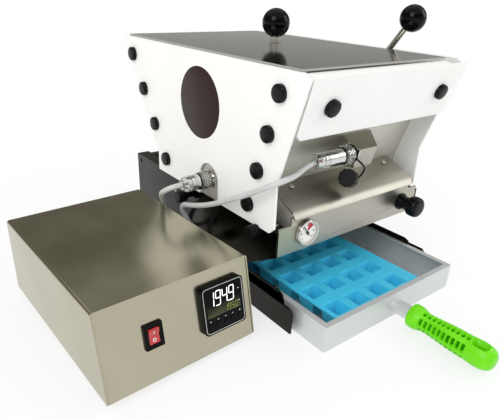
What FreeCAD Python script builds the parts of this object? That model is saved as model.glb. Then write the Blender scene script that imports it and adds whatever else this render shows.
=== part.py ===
import FreeCAD, Part

import math
import os

import Sketcher

from FreeCAD import Placement, Rotation, Vector

# A hand-operated candy depositor. A stainless chassis stands astride a
# sliding tray with a silicone mould. On it sits a heated hopper between two
# white side panels, with a piston block, a hood and a nozzle plate in front.
# A lever on the right turns a cross shaft that drives the pistons. A separate
# control box stands on the left and feeds the heaters through two cables.
#
# Axes: X to the right, Y to the back, Z up. The origin is the middle of the
# machine's footprint on the surface it stands on. Millimetres.

os.makedirs("parts", exist_ok=True)
doc = FreeCAD.newDocument("candy_depositor")

SIZES = {
    # side panels
    "panel_stand": 6, "panel_step": 1, "panel_sheet": 3, "panel_setback": 5,
    "panel_low": 105, "panel_high": 267,
    "panel_front_low": 144, "panel_front_top": 179, "panel_knee_front": 158,
    "panel_tip": 137, "panel_shoulder": 112, "panel_brow": 262, "panel_nose": 170,
    "panel_back_low": 92, "panel_back_top": 180, "panel_knee_back": 128,
    "notch_mid": -27, "notch_wide": 37, "notch_spring": 128,
    # screw caps
    "cap_radius": 8.5, "cap_tall": 5.5, "cap_low": 125.5, "cap_pitch": 40,
    "cap_front_low": 102.3, "cap_front_step": 13.5,
    "cap_back_low": 69.3, "cap_back_step": 26.6,
    # chassis
    "chassis_half": 116, "chassis_sheet": 2, "chassis_front": 143,
    "chassis_back": 169, "arm_low": 77, "throat_back": 58, "foot_front": 172.5,
    "foot_high": 29, "foot_corner": 5, "rail_wide": 15, "fold_wide": 12,
    "lever_gap_front": 22, "lever_gap_back": 66,
    "back_low": 42,
    "guide_inset": 8, "guide_sheet": 2, "guide_high": 36.6, "guide_front": 152,
    "guide_back": 160, "guide_corner": 9,
    # hopper jacket and tank
    "jacket_sheet": 1.2, "jacket_right": 85, "jacket_top": 262,
    "jacket_front_top": 146, "jacket_front_low": 104, "jacket_knee": 138,
    "jacket_back_top": 157.5, "jacket_back_low": 66.8, "jacket_knee_back": 126,
    "tank_gap": 5.5, "tank_floor_front": 118.5, "tank_floor_back": 134,
    "port_high": 127, "port_radius": 5, "port_bore": 3.5,
    "rim_sheet": 1.2,
    "pad_thick": 2, "pad_wide": 130, "pad_left": -82,
    # lid
    "lid_front": 168, "lid_back": 157.6, "lid_sheet": 2, "lid_lift": 0.3,
    "skirt_deep": 9, "lid_ball_radius": 16, "ball_flat": 5, "ferrule_tall": 8.5, "ferrule_radius": 5.6,
    "lid_knob_side": -16, "lid_knob_front": -7,
    # front guard
    "guard_inset": 6, "guard_sheet": 3, "guard_top": 262.5, "guard_low": 204.5,
    "guard_front_top": 178, "guard_front_low": 160, "guard_lip": 11, "guard_lip_right": 88,
    "guard_chamfer": 6, "guard_screw": 84, "guard_screw_high": 234, "guard_stud": 5,
    # pump block, hood, front plate, nozzle plate
    "block_half": 96, "block_front": 141, "block_low": 80, "block_brow": 121,
    "block_ridge": 135.1, "block_ridge_front": 114,
    "hood_half": 97, "hood_sheet": 1.5, "hood_crease": 142.6, "hood_crease_high": 125.2,
    "hood_back": 105.4, "hood_back_high": 140.6, "hood_lip": 148.5, "hood_lip_low": 116.5,
    "plate_half": 113.5, "plate_low": 77, "plate_high": 109, "plate_mid_high": 117,
    "plate_step": 97,
    "nozzle_plate_low": 76, "nozzle_low": 72.2, "nozzle_radius": 4, "nozzle_bore": 1.6,
    "nozzle_line": 134, "feed_line": 126, "bore_end": 136.5, "outlet_radius": 2,
    "piston_radius": 6, "piston_fit": 0.05, "piston_high": 110, "piston_rod": 4,
    "cell_pitch": 31.4, "cell_first": -70,
    # crank
    "shaft_back": 46.7, "shaft_high": 94, "shaft_radius": 6, "shaft_fit": 0.05,
    "bush_radius": 8.6, "bush_long": 6, "crank_reach": 16, "crank_pin": 3,
    "crank_thick": 6, "fork_gap": 0.7, "bar_deep": 12, "bar_tall": 10,
    "lever_inset": 14, "lever_lean": 36.4, "lever_long": 260.5, "lever_radius": 3.5,
    "lever_mid": 12, "lever_ball_radius": 15, "hub_radius": 11, "hub_long": 11,
    # thermometer and front knob
    "dial_side": -76, "dial_high": 97, "dial_radius": 14.5, "dial_thick": 5.5,
    "dial_wall": 1.4, "probe_radius": 3, "probe_long": 24,
    "knob_side": 86, "knob_high": 94, "knob_radius": 12, "knob_head": 12, "knob_stud": 4, "knob_fit": 0.05,
    "knob_neck": 9.3, "knob_waist": 8,
    "knob_reach": 28, "washer_radius": 10.5, "washer_thick": 1.5,
    "thumb_radius": 7, "thumb_long": 18, "thumb_stud": 1.5,
    "thumb_front": -118, "thumb_front_high": 101, "thumb_back": 25, "thumb_back_high": 90,
    # connectors
    "plug_radius": 9.2, "front_plug_long": 39, "side_plug_long": 21, "ring_long": 12.9,
    "socket_neck": 4.6,
    "socket_flange": 18, "socket_turn": 18, "socket_radius": 8,
    "front_plug_y": -136.5, "front_plug_z": 169.8,
    "side_plug_y": -29, "side_plug_z": 129, "cable_radius": 3,
    "wedge_left": -8.5, "wedge_right": 38, "wedge_right_front": 20.7,
    "wedge_top": 185.6, "wedge_apex": 146, "wedge_apex_high": 176,
    "wedge_chin": 140, "wedge_low": 153.5,
    # tray, handle, mould
    "tray_gap": 0.3, "tray_front": 214, "tray_long": 232, "tray_low": 0,
    "tray_high": 30, "tray_sheet": 1.5, "tray_flange": 6.5, "tray_corner": 2.2,
    "tube_radius": 8, "tube_high": 16, "grip_start": 238,
    "tube_inside": 60, "hang_radius": 4.4, "hang_long": 8, "hang_place": 73,
    "mould_left": -86, "mould_wide": 139, "mould_front": 207.2, "mould_top": 28,
    "mould_flange": 2.5, "cup_mouth": 21, "cup_floor": 13, "cup_deep": 19,
    "cup_wall": 2, "cup_row_pitch": 35.5, "cup_row_first": -193,
    # control box
    "box_right": -161, "box_back": 70, "box_turn": 2.5, "box_wide": 160,
    "box_high": 91.5, "box_low": 8, "box_top_deep": 210, "box_low_deep": 227,
    "box_sheet": 1.5, "box_corner": 3, "box_reveal": 0.6,
    "pid_size": 48, "pid_side": -36, "pid_drop": 39, "pid_bezel": 6,
    "pid_body": 44.6, "pid_deep": 72, "key_radius": 2.4, "key_pitch": 8.6,
    "switch_side": -109.3, "switch_drop": 40.5, "switch_wide": 18.5, "switch_tall": 24,
    "switch_body_wide": 13, "switch_body_tall": 19, "rocker_pin": 1, "rocker_pin_long": 12,
    "rocker_pin_fit": 0.05,
    "foot_pad_radius": 8, "gland_front_y": -72, "gland_back_y": -25, "gland_z": 32,
    "gland_reach": 10,
}

sheet = doc.addObject("Spreadsheet::Sheet", "sizes")
for row, (alias, number) in enumerate(SIZES.items(), start=1):
    sheet.set(f"A{row}", alias)
    sheet.set(f"B{row}", str(number))
    sheet.setAlias(f"B{row}", alias)
doc.recompute()


class Length(float):
    """A number that also carries the sheet formula it comes from."""

    def __new__(cls, number, formula):
        made = super().__new__(cls, number)
        made.formula = formula
        return made

    def joined(self, other, sign, result):
        return Length(result, f"({self.formula} {sign} {formula_of(other)})")

    def __add__(self, other):
        return self.joined(other, "+", float(self) + float(other))

    def __radd__(self, other):
        return Length(float(other), repr(float(other))) + self

    def __sub__(self, other):
        return self.joined(other, "-", float(self) - float(other))

    def __rsub__(self, other):
        return Length(float(other), repr(float(other))) - self

    def __mul__(self, other):
        return self.joined(other, "*", float(self) * float(other))

    __rmul__ = __mul__

    def __truediv__(self, other):
        return self.joined(other, "/", float(self) / float(other))

    def __neg__(self):
        return Length(-float(self), f"(0 - {self.formula})")


def formula_of(amount):
    if isinstance(amount, Length):
        return amount.formula
    return repr(float(amount))


def size(alias):
    return Length(float(sheet.get(alias)), f"sizes.{alias}")


def left_face():
    """How far the left panel's outer face is from the middle."""
    return size("chassis_half") + size("panel_stand")


def right_face():
    """How far the right panel's outer face is from the middle."""
    return size("chassis_half") - size("panel_step")


def guide_face():
    """How far a tray guide's inner face is from the middle."""
    return size("chassis_half") - size("guide_inset")


def bind(thing, prop, amount):
    """Set a property and tie it to the sheet when the amount comes from there."""
    setattr(thing, prop, float(amount))
    if isinstance(amount, Length):
        thing.setExpression(prop, amount.formula)


def place(thing, x=0, y=0, z=0, turn=None):
    thing.Placement = Placement(Vector(float(x), float(y), float(z)), turn or Rotation())
    for axis, amount in zip("xyz", (x, y, z)):
        if isinstance(amount, Length):
            thing.setExpression(f"Placement.Base.{axis}", amount.formula)
    return thing


def box(label, x, y, z):
    """A block between two limits on each axis."""
    made = doc.addObject("Part::Box", label)
    made.Label = label
    bind(made, "Length", x[1] - x[0])
    bind(made, "Width", y[1] - y[0])
    bind(made, "Height", z[1] - z[0])
    return place(made, x[0], y[0], z[0])


TURNS = {
    "X": Rotation(Vector(0, 1, 0), 90), "-X": Rotation(Vector(0, 1, 0), -90),
    "Y": Rotation(Vector(1, 0, 0), -90), "-Y": Rotation(Vector(1, 0, 0), 90),
    "Z": Rotation(), "-Z": Rotation(Vector(1, 0, 0), 180),
}


def rod(label, radius, length, x, y, z, along="Z"):
    """A round bar from its starting point along one axis."""
    made = doc.addObject("Part::Cylinder", label)
    made.Label = label
    bind(made, "Radius", radius)
    bind(made, "Height", length)
    return place(made, x, y, z, TURNS[along])


def taper(label, radius_one, radius_two, length, x, y, z, along="Z"):
    made = doc.addObject("Part::Cone", label)
    made.Label = label
    bind(made, "Radius1", radius_one)
    bind(made, "Radius2", radius_two)
    bind(made, "Height", length)
    return place(made, x, y, z, TURNS[along])


def ball(label, radius, x, y, z):
    made = doc.addObject("Part::Sphere", label)
    made.Label = label
    bind(made, "Radius", radius)
    return place(made, x, y, z)


def cut(label, base, tools):
    """The base less one or more tools."""
    made = doc.addObject("Part::Cut", label)
    made.Label = label
    made.Base = base
    made.Tool = tools[0] if len(tools) == 1 else join(f"{label}_cuts", tools)
    made.Refine = True
    return made


def join(label, pieces):
    made = doc.addObject("Part::MultiFuse", label)
    made.Label = label
    made.Shapes = pieces
    made.Refine = True
    return made


def group(label, pieces):
    """Alike pieces kept apart as separate solids of one node."""
    made = doc.addObject("Part::Compound", label)
    made.Label = label
    made.Links = pieces
    return made


def outline(label, plane, points, length, x=0, y=0, z=0):
    """A closed outline on an origin plane, padded by a length, then placed."""
    body = doc.addObject("PartDesign::Body", label)
    body.Label = label
    sketch = body.newObject("Sketcher::SketchObject", f"{label}_outline")
    for feature in body.Origin.OriginFeatures:
        if feature.Role == f"{plane}_Plane":
            sketch.AttachmentSupport = [(feature, "")]
    sketch.MapMode = "FlatFace"
    corners = [Vector(float(u), float(v), 0) for u, v in points]
    for index, corner in enumerate(corners):
        following = corners[(index + 1) % len(corners)]
        sketch.addGeometry(Part.LineSegment(corner, following), False)
    count = len(corners)
    for index in range(count):
        sketch.addConstraint(Sketcher.Constraint("Coincident", index, 2, (index + 1) % count, 1))
    for index, (u, v) in enumerate(points):
        for kind, amount in (("DistanceX", u), ("DistanceY", v)):
            sketch.addConstraint(Sketcher.Constraint(kind, -1, 1, index, 1, float(amount)))
            if isinstance(amount, Length):
                last = sketch.ConstraintCount - 1
                sketch.setExpression(f"Constraints[{last}]", amount.formula)
    pad = body.newObject("PartDesign::Pad", f"{label}_pad")
    pad.Profile = sketch
    bind(pad, "Length", length)
    body.Tip = pad
    return place(body, x, y, z)


def rounded(label, base, radius, wanted):
    """Round the edges whose middle point passes a test."""
    doc.recompute()
    made = doc.addObject("Part::Fillet", label)
    made.Label = label
    made.Base = base
    picked = []
    for index, edge in enumerate(base.Shape.Edges, start=1):
        if wanted(edge):
            picked.append((index, float(radius), float(radius)))
    made.Edges = picked
    return made


def turned(label, profile, x, y, z, along="Z"):
    """A round piece from a half profile of (radius, height) points."""
    points = [Vector(float(r), 0, float(h)) for r, h in profile]
    wire = Part.makePolygon(points + [points[0]])
    made = doc.addObject("Part::Feature", label)
    made.Label = label
    made.Shape = Part.Face(wire).revolve(Vector(0, 0, 0), Vector(0, 0, 1), 360)
    return place(made, x, y, z, TURNS[along])


def middle(edge):
    return edge.valueAt((edge.FirstParameter + edge.LastParameter) / 2)


nodes = []


def node(thing):
    """Mark a finished sub-part. Its label names its file."""
    nodes.append(thing)
    return thing


def side_panel(label, side):
    """A white plastic side panel, a funnel outline with a knee on each slope.

    The right one is set back, because the front guard passes in front of it.
    """
    setback = size("panel_setback") if side > 0 else 0
    front_low = setback - size("panel_front_low")
    points = [
        (setback - size("panel_tip"), size("panel_low")),
        (size("panel_back_low"), size("panel_low")),
        (size("panel_back_low"), size("panel_knee_back")),
        (size("panel_back_top"), size("panel_high")),
        (setback - size("panel_nose"), size("panel_high")),
        (setback - size("panel_front_top"), size("panel_brow")),
        (front_low, size("panel_knee_front")),
        (front_low, size("panel_shoulder")),
    ]
    start = -left_face() if side < 0 else right_face() - size("panel_sheet")
    if side > 0:
        return node(outline(label, "YZ", points, size("panel_sheet"), x=start))
    sheet_body = outline(f"{label}_sheet", "YZ", points, size("panel_sheet"), x=start)
    mid, wide = size("notch_mid"), size("notch_wide")
    x = (start - 1, start + size("panel_sheet") + 1)
    slot = box(f"{label}_slot", x, (mid - wide / 2, mid + wide / 2),
               (size("panel_low") - 1, size("notch_spring")))
    arch = rod(f"{label}_arch", wide / 2, x[1] - x[0], x[0], mid, size("notch_spring"), "X")
    return node(cut(label, sheet_body, [slot, arch]))


def screw_cap(label, x, y, z, along):
    """A round black cap with a bevelled rim."""
    radius, tall = size("cap_radius"), size("cap_tall")
    profile = [(0, 0), (radius, 0), (radius, tall - 1.5), (radius - 1.5, tall), (0, tall)]
    return turned(label, profile, x, y, z, along)


def screw_caps():
    """Four caps down each slope of each panel and two on the guard."""
    caps = []
    for x, along in ((-left_face(), "-X"), (right_face(), "X")):
        for step in range(4):
            z = size("cap_low") + size("cap_pitch") * step
            front = -(size("cap_front_low") + size("cap_front_step") * step)
            back = size("cap_back_low") + size("cap_back_step") * step
            for row, y in (("front", front), ("back", back)):
                caps.append(screw_cap(f"cap_{along}_{row}_{step}", x, y, z, along))
    lean = guard_lean()
    for side in (-1, 1):
        cap = screw_cap(f"cap_guard_{side}", 0, 0, 0, "-Y")
        y = guard_face(size("guard_screw_high"))
        turn = Rotation(Vector(1, 0, 0), 90 + lean)
        cap.Placement = Placement(Vector(float(size("guard_screw") * side), y,
                                         float(size("guard_screw_high"))), turn)
        caps.append(cap)
    return node(group("screw_caps", caps))


def guard_lean():
    """How far the guard's face leans from upright, in degrees."""
    run = size("guard_front_top") - size("guard_front_low")
    rise = size("guard_top") - size("guard_low")
    return math.degrees(math.atan2(run, rise))


def guard_face(z):
    """The y of the guard's face at a height."""
    share = (float(z) - size("guard_low")) / (size("guard_top") - size("guard_low"))
    return -float(size("guard_front_low") + (size("guard_front_top") - size("guard_front_low")) * share)


def jacket_front(z):
    """The y of the jacket's sloping front face at a height."""
    share = (float(z) - size("jacket_knee")) / (size("jacket_top") - size("jacket_knee"))
    run = size("jacket_front_top") - size("jacket_front_low")
    return -float(size("jacket_front_low") + run * share)


def chassis_side(label, side):
    """A C-shaped side sheet. Its top, front and back edges fold inwards."""
    half, wall = size("chassis_half"), size("chassis_sheet")
    front, back = -size("chassis_front"), size("chassis_back")
    top, foot = size("panel_low"), size("foot_high")
    corner = size("foot_corner")
    points = [
        (-size("foot_front"), 0), (back, 0), (back, top), (front, top),
        (front, size("arm_low")), (-size("throat_back"), foot),
        (-size("foot_front") + corner, foot), (-size("foot_front"), foot - corner),
    ]
    start = -half if side < 0 else half - wall
    skin = outline(f"{label}_skin", "YZ", points, wall, x=start)
    inner = half - wall

    def inward(name, wide, y, z):
        x = (-inner, -inner + wide) if side < 0 else (inner - wide, inner)
        return box(f"{label}_{name}", x, y, z)

    top_span = (top - wall, top)
    pieces = [skin,
              inward("front_fold", size("fold_wide"), (front + wall, front + wall * 2),
                     (size("arm_low") + 6, top)),
              inward("back_fold", size("fold_wide"), (back - wall, back), (size("back_low"), top))]
    if side < 0:
        pieces.append(inward("rail", size("rail_wide"), (front + wall, back), top_span))
    else:
        ahead = (front + wall, size("lever_gap_front"))
        behind = (size("lever_gap_back"), back)
        pieces.append(inward("rail_front", size("rail_wide"), ahead, top_span))
        pieces.append(inward("rail_back", size("rail_wide"), behind, top_span))
    holes = [rod(f"{label}_rivet_hole", 2.5, wall + 2, start - 1, back - 11, top - 8, "X")]
    if side < 0:
        for name in ("front", "back"):
            hole = rod(f"{label}_thumb_{name}", size("thumb_stud") + 0.3, wall + 2, start - 1,
                       size(f"thumb_{name}"), size(f"thumb_{name}_high"), "X")
            holes.append(hole)
    return node(cut(label, join(f"{label}_blank", pieces), holes))


def chassis_back():
    """The cross sheet that ties the two sides together behind."""
    inner = size("chassis_half") - size("chassis_sheet")
    wall = size("chassis_sheet")
    rear = size("chassis_back") - wall
    low, top = size("back_low"), size("panel_low") - wall
    web = box("back_web", (-inner, inner), (rear - wall, rear), (low, top))
    lip = box("back_lip", (-inner, inner), (rear - 12, rear), (top - wall, top))
    foot = box("back_foot", (-inner, inner), (rear - 12, rear), (low, low + wall))
    return node(join("chassis_back", [web, lip, foot]))


def tray_guide(label, side):
    """An angle rail with a rounded front corner that the tray slides along."""
    near, wall = guide_face(), size("guide_sheet")
    front, back = -size("guide_front"), size("guide_back")
    high, corner = size("guide_high"), size("guide_corner")
    points = [(front, 0), (back, 0), (back, high), (front + corner, high),
              (front + corner * 0.35, high - corner * 0.25), (front, high - corner)]
    start = -near - wall if side < 0 else near
    web = outline(f"{label}_web", "YZ", points, wall, x=start)
    reach = size("chassis_half") - size("chassis_sheet")
    x = (-reach, -near) if side < 0 else (near, reach)
    foot = box(f"{label}_foot", x, (front + corner, back), (0, wall))
    return node(join(label, [web, foot]))


def slope_strip(label, points, thick, x_from, length):
    """A bent strip of sheet: an open line of points given one thickness."""
    outer = [(float(u), float(v)) for u, v in points]
    inner = offset_line(outer, float(thick))
    return outline(label, "YZ", list(points) + list(reversed(inner)), length, x=x_from)


def offset_line(points, thick):
    """The line moved sideways by a thickness, to the left of its direction."""
    moved = []
    for index, (u, v) in enumerate(points):
        directions = []
        if index > 0:
            directions.append(heading(points[index - 1], (u, v)))
        if index < len(points) - 1:
            directions.append(heading((u, v), points[index + 1]))
        if len(directions) == 1:
            du, dv = directions[0]
            moved.append((u - dv * thick, v + du * thick))
            continue
        (au, av), (bu, bv) = directions
        share = thick / (1 + au * bu + av * bv)
        moved.append((u - (av + bv) * share, v + (au + bu) * share))
    return moved


def heading(start, end):
    du, dv = end[0] - start[0], end[1] - start[1]
    length = math.hypot(du, dv)
    return du / length, dv / length


def cell_sides():
    """The x of each of the four pistons, nozzles and cup columns."""
    return [size("cell_first") + size("cell_pitch") * step for step in range(4)]


def jacket_line(back):
    """The bent outer line of the jacket's front or back, from the top down."""
    if back:
        return [(size("jacket_back_top"), size("jacket_top")),
                (size("jacket_back_low"), size("jacket_knee_back")),
                (size("jacket_back_low"), size("panel_low"))]
    return [(-size("jacket_front_top"), size("jacket_top")),
            (-size("jacket_front_low"), size("jacket_knee")),
            (-size("jacket_front_low"), size("panel_low"))]


def hopper_jacket():
    """The outer funnel of sheet. Its front and back also close the lever's side."""
    wall = size("jacket_sheet")
    right = right_face() - size("panel_sheet")
    left = -(left_face() - size("panel_sheet"))
    full = right - left
    front = slope_strip("jacket_front", jacket_line(False), wall, left, full)
    back = slope_strip("jacket_back", jacket_line(True), -wall, left, full)
    ring = jacket_line(False) + list(reversed(jacket_line(True)))
    ends = [outline("jacket_left", "YZ", ring, wall, x=left),
            outline("jacket_right", "YZ", ring, wall, x=size("jacket_right") - wall)]
    lean = math.radians(guard_lean())
    high = size("guard_screw_high")
    start = guard_face(high) + float(size("guard_sheet")) / math.cos(lean)
    inward = Vector(0, math.cos(lean), math.sin(lean))
    slope = (jacket_front(high) - jacket_front(high + 1))
    reach = (jacket_front(high) - start) / (math.cos(lean) + slope * math.sin(lean)) + float(wall) / 2
    studs = []
    for side in (-1, 1):
        stud = doc.addObject("Part::Feature", f"guard_stud_{side}")
        back_of_face = Vector(float(size("guard_screw") * side), start, float(high))
        stud.Shape = Part.makeCylinder(float(size("guard_stud")), reach, back_of_face, inward)
        studs.append(stud)
    hull = join("jacket_hull", [front, back] + ends + studs)
    top = size("jacket_top")
    deep = (-size("jacket_front_top") - 5, size("jacket_back_top") + 5)
    trim = box("jacket_trim", (left - 1, right + 1), deep, (top, top + 5))
    holes = [trim]
    for index, x in enumerate(cell_sides()):
        y = -size("jacket_front_low") - 1
        port = rod(f"jacket_port_{index}", size("port_radius") + 0.3, wall + 2, x, y,
                   size("port_high"), "Y")
        passage = rod(f"jacket_rod_hole_{index}", size("piston_radius") + 0.6, wall + 2, x, y,
                      size("piston_high"), "Y")
        holes += [port, passage]
    return node(cut("hopper_jacket", hull, holes))


def tank_lines():
    """The tank's outer front, floor and back, in from the jacket by one gap."""
    gap = float(size("tank_gap"))
    top = float(size("jacket_top"))
    front_rise = size("jacket_top") - size("jacket_knee")
    front_slope = (size("jacket_front_top") - size("jacket_front_low")) / front_rise
    front_shift = gap * math.hypot(1, float(front_slope))
    back_rise = size("jacket_top") - size("jacket_knee_back")
    back_slope = (size("jacket_back_top") - size("jacket_back_low")) / back_rise
    back_shift = gap * math.hypot(1, float(back_slope))
    front_top = -float(size("jacket_front_top")) + front_shift
    front_low = -float(size("jacket_front_low")) + gap
    knee = float(size("jacket_knee"))
    back_top = float(size("jacket_back_top")) - back_shift
    floor_back = float(size("tank_floor_back"))
    back_low = back_top - float(back_slope) * (top - floor_back)
    return [(front_top, top), (front_low, knee), (front_low, float(size("tank_floor_front"))),
            (back_low, floor_back), (back_top, top)]


def hopper_tank():
    """The inner tank: a floor that falls to the front, a rim and four feed tubes."""
    wall = size("jacket_sheet")
    outer = tank_lines()
    inner = offset_line(outer, float(wall))
    left = -(left_face() - size("panel_sheet")) + size("tank_gap") + wall
    right = size("jacket_right") - wall - size("tank_gap")
    shell = outline("tank_outside", "YZ", outer, right - left, x=left)
    hollow_points = [(inner[0][0], inner[0][1] + 5)] + inner + [(inner[-1][0], inner[-1][1] + 5)]
    hollow = outline("tank_inside", "YZ", hollow_points, right - left - wall * 2, x=left + wall)
    rim_x = (-(left_face() - size("panel_sheet")), size("jacket_right"))
    rim = box("tank_rim", rim_x, (-size("jacket_front_top"), size("jacket_back_top")),
              (size("jacket_top"), size("jacket_top") + size("rim_sheet")))
    pieces = [shell, rim]
    bores = [hollow]
    for index, x in enumerate(cell_sides()):
        y = -size("jacket_front_low")
        pieces.append(rod(f"tank_feed_{index}", size("port_radius"), size("tank_gap") + 1, x, y,
                          size("port_high"), "Y"))
        bores.append(rod(f"tank_feed_bore_{index}", size("port_bore"), 12, x, y - 1, size("port_high"), "Y"))
    mouth = box("tank_mouth", (left + wall, right - wall), (inner[0][0], inner[-1][0]),
                (size("jacket_top") - 1, size("jacket_top") + size("rim_sheet") + 1))
    return node(cut("hopper_tank", join("tank_blank", pieces), bores + [mouth]))


def heater_pads():
    """Two heater mats, one on each sloping outside face of the tank."""
    lines = tank_lines()
    pads = []
    for name, low, high, sign in (("front", lines[1], lines[0], 1), ("back", lines[3], lines[4], -1)):
        start, end = ((low[0] + (high[0] - low[0]) * share, low[1] + (high[1] - low[1]) * share)
                      for share in (0.2, 0.8))
        moved = offset_line([start, end], float(size("pad_thick")) * sign)
        points = [start, end, moved[1], moved[0]]
        pads.append(outline(f"pad_{name}", "YZ", points, size("pad_wide"), x=size("pad_left")))
    return node(group("heater_pads", pads))


def lid_pieces():
    """A flat steel lid with a skirt inside the tank's mouth, and its ball knob."""
    under = size("panel_high") + size("lid_lift")
    wall = size("lid_sheet")
    left, right = -left_face(), size("jacket_right")
    plate = box("lid_plate", (left, right), (-size("lid_front"), size("lid_back")), (under, under + wall))
    lines = tank_lines()
    inset = size("jacket_sheet") + 3
    x = (-(left_face() - size("panel_sheet")) + size("tank_gap") + inset + 1,
         size("jacket_right") - size("tank_gap") - inset - 1)
    y = (lines[0][0] + float(inset) + 4, lines[-1][0] - float(inset) - 7)
    ring = box("lid_skirt_block", x, y, (under - size("skirt_deep"), under))
    hole = box("lid_skirt_hole", (x[0] + 1.5, x[1] - 1.5), (y[0] + 1.5, y[1] - 1.5),
               (under - size("skirt_deep") - 1, under))
    skirt = cut("lid_skirt", ring, [hole])
    rim_top = size("jacket_top") + size("rim_sheet")
    fold_deep = (-size("jacket_front_top") + 4, size("jacket_back_top") - 4)
    fold = box("lid_fold", (right - wall, right), fold_deep, (rim_top + 0.3, under))
    node(join("lid", [plate, skirt, fold]))
    knob_x, knob_y = size("lid_knob_side"), size("lid_knob_front")
    base = under + wall
    tall, wide = size("ferrule_tall"), size("ferrule_radius")
    profile = [(0, 0), (wide + 1.4, 0), (wide + 1.4, 1.6), (wide, 2.4), (wide, tall), (0, tall)]
    node(turned("lid_ferrule", profile, knob_x, knob_y, base))
    node(ball_knob("lid_knob", size("lid_ball_radius"), knob_x, knob_y, base + tall, Rotation()))


def ball_drop(radius):
    """How far a ball's flat lies below its centre."""
    return math.sqrt(float(radius) ** 2 - float(size("ball_flat")) ** 2)


def ball_knob(label, radius, x, y, z, turn):
    """A plastic ball with a flat where the stem enters."""
    drop = ball_drop(radius)
    made = doc.addObject("Part::Feature", label)
    made.Label = label
    whole = Part.makeSphere(float(radius), Vector(0, 0, drop))
    made.Shape = whole.common(Part.makeBox(80, 80, 80, Vector(-40, -40, 0)))
    made.Placement = Placement(Vector(float(x), float(y), float(z)), turn)
    return made


def front_guard():
    """A bent white guard: a leaning face and a lip back to the lid."""
    lean = math.radians(guard_lean())
    lip = float(size("guard_lip"))
    top_y, top_z = -float(size("guard_front_top")), float(size("guard_top"))
    back = (top_y + lip * math.cos(lean), top_z + lip * math.sin(lean))
    points = [(-size("guard_front_low"), size("guard_low")),
              (-size("guard_front_top"), size("guard_top")), back]
    half = left_face() - size("guard_inset")
    face = slope_strip("guard_face", points, -size("guard_sheet"), -half, half * 2)
    nips = []
    chamfer = float(size("guard_chamfer"))
    for side in (-1, 1):
        nip = doc.addObject("Part::Feature", f"guard_nip_{side}")
        tip = Vector(float(half) * side, -250, float(size("guard_low")))
        corners = [tip + Vector(0.5 * side, 0, -0.5), tip + Vector(-chamfer * side, 0, -0.5),
                   tip + Vector(0.5 * side, 0, chamfer)]
        face_shape = Part.Face(Part.makePolygon(corners + [corners[0]]))
        nip.Shape = face_shape.extrude(Vector(0, 150, 0))
        nips.append(nip)
    behind = (-size("guard_front_top") + 3.5, -size("guard_front_top") + 20)
    lip_end = box("guard_lip_end", (size("guard_lip_right"), half + 1), behind,
                  (size("guard_top") - 4, size("guard_top") + 8))
    return node(cut("front_guard", face, nips + [lip_end]))


def pump_block():
    """The block in front of the hopper, with four feeds, bores and outlets."""
    half = size("block_half")
    front, back = -size("block_front"), -size("jacket_front_low")
    points = [(front, size("block_low")), (back, size("block_low")), (back, size("block_ridge")),
              (-size("block_ridge_front"), size("block_ridge")), (front, size("block_brow"))]
    solid = outline("block_solid", "YZ", points, half * 2, x=-half)
    cuts = []
    for index, x in enumerate(cell_sides()):
        high = size("piston_high")
        bore = size("piston_radius") + size("piston_fit")
        feed, out = -size("feed_line"), -size("nozzle_line")
        port, foot = size("port_high"), size("block_low") - 1
        cuts += [
            rod(f"block_bore_{index}", bore, size("bore_end") + back, x, -size("bore_end"), high, "Y"),
            rod(f"block_feed_{index}", size("port_bore"), back - feed + 1, x, feed, port, "Y"),
            rod(f"block_drop_{index}", size("port_bore") - 0.5, port - high, x, feed, high),
            rod(f"block_outlet_{index}", size("outlet_radius"), high - foot, x, out, foot),
        ]
    cuts.append(rod("block_probe", size("probe_radius") + 0.1, size("probe_long") + 1, size("dial_side"),
                    front - 1, size("dial_high"), "Y"))
    return node(cut("pump_block", solid, cuts))


def hood():
    """A bent hood over the block with a lip down its front."""
    points = [(-size("hood_back"), size("hood_back_high")),
              (-size("hood_crease"), size("hood_crease_high")),
              (-size("hood_lip"), size("hood_lip_low"))]
    half = size("hood_half")
    return node(slope_strip("hood", points, size("hood_sheet"), -half, half * 2))


def front_plate():
    """The flat plate between the chassis sides, stepped up under the hood's lip."""
    half, step = size("plate_half"), size("plate_step")
    low, high, mid = size("plate_low"), size("plate_high"), size("plate_mid_high")
    front = -size("chassis_front")
    points = [(-half, low), (half, low), (half, high), (step, high), (step, mid), (-step, mid),
              (-step, high), (-half, high)]
    thick = size("chassis_sheet")
    blank = outline("front_plate_blank", "XZ", points, thick, y=front + thick)
    hole = rod("front_plate_hole", size("probe_radius") + 0.1, thick + 2, size("dial_side"), front - 1,
               size("dial_high"), "Y")
    knob_hole = rod("front_plate_knob_hole", size("knob_stud") + size("knob_fit"), thick + 2,
                    size("knob_side"), front - 1, size("knob_high"), "Y")
    return node(cut("front_plate", blank, [hole, knob_hole]))


def nozzle_plate():
    """A plate under the block with four tapered nozzles."""
    low, top = size("nozzle_plate_low"), size("block_low")
    sides = cell_sides()
    plate = box("nozzle_blank", (sides[0] - 14, sides[-1] + 14),
                (-size("block_front") + 0.5, -size("jacket_front_low") - 4), (low, top))
    pieces, bores = [plate], []
    for index, x in enumerate(sides):
        y = -size("nozzle_line")
        tip = size("nozzle_low")
        pieces.append(taper(f"nozzle_{index}", size("nozzle_radius") * 0.7, size("nozzle_radius"),
                            low - tip + 0.01, x, y, tip))
        bores.append(rod(f"nozzle_bore_{index}", size("nozzle_bore"), top - tip + 2, x, y, tip - 1))
    return node(cut("nozzle_plate", join("nozzle_solid", pieces), bores))


def crank_angle(lean):
    """The crank's angle from upright when the lever leans by so much."""
    return math.radians(float(lean) - float(size("lever_mid")))


def crank_tip():
    """The y of the crank pins at the pose the model is drawn in."""
    return float(size("shaft_back")) - float(size("crank_reach")) * math.sin(crank_angle(size("lever_lean")))


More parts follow.
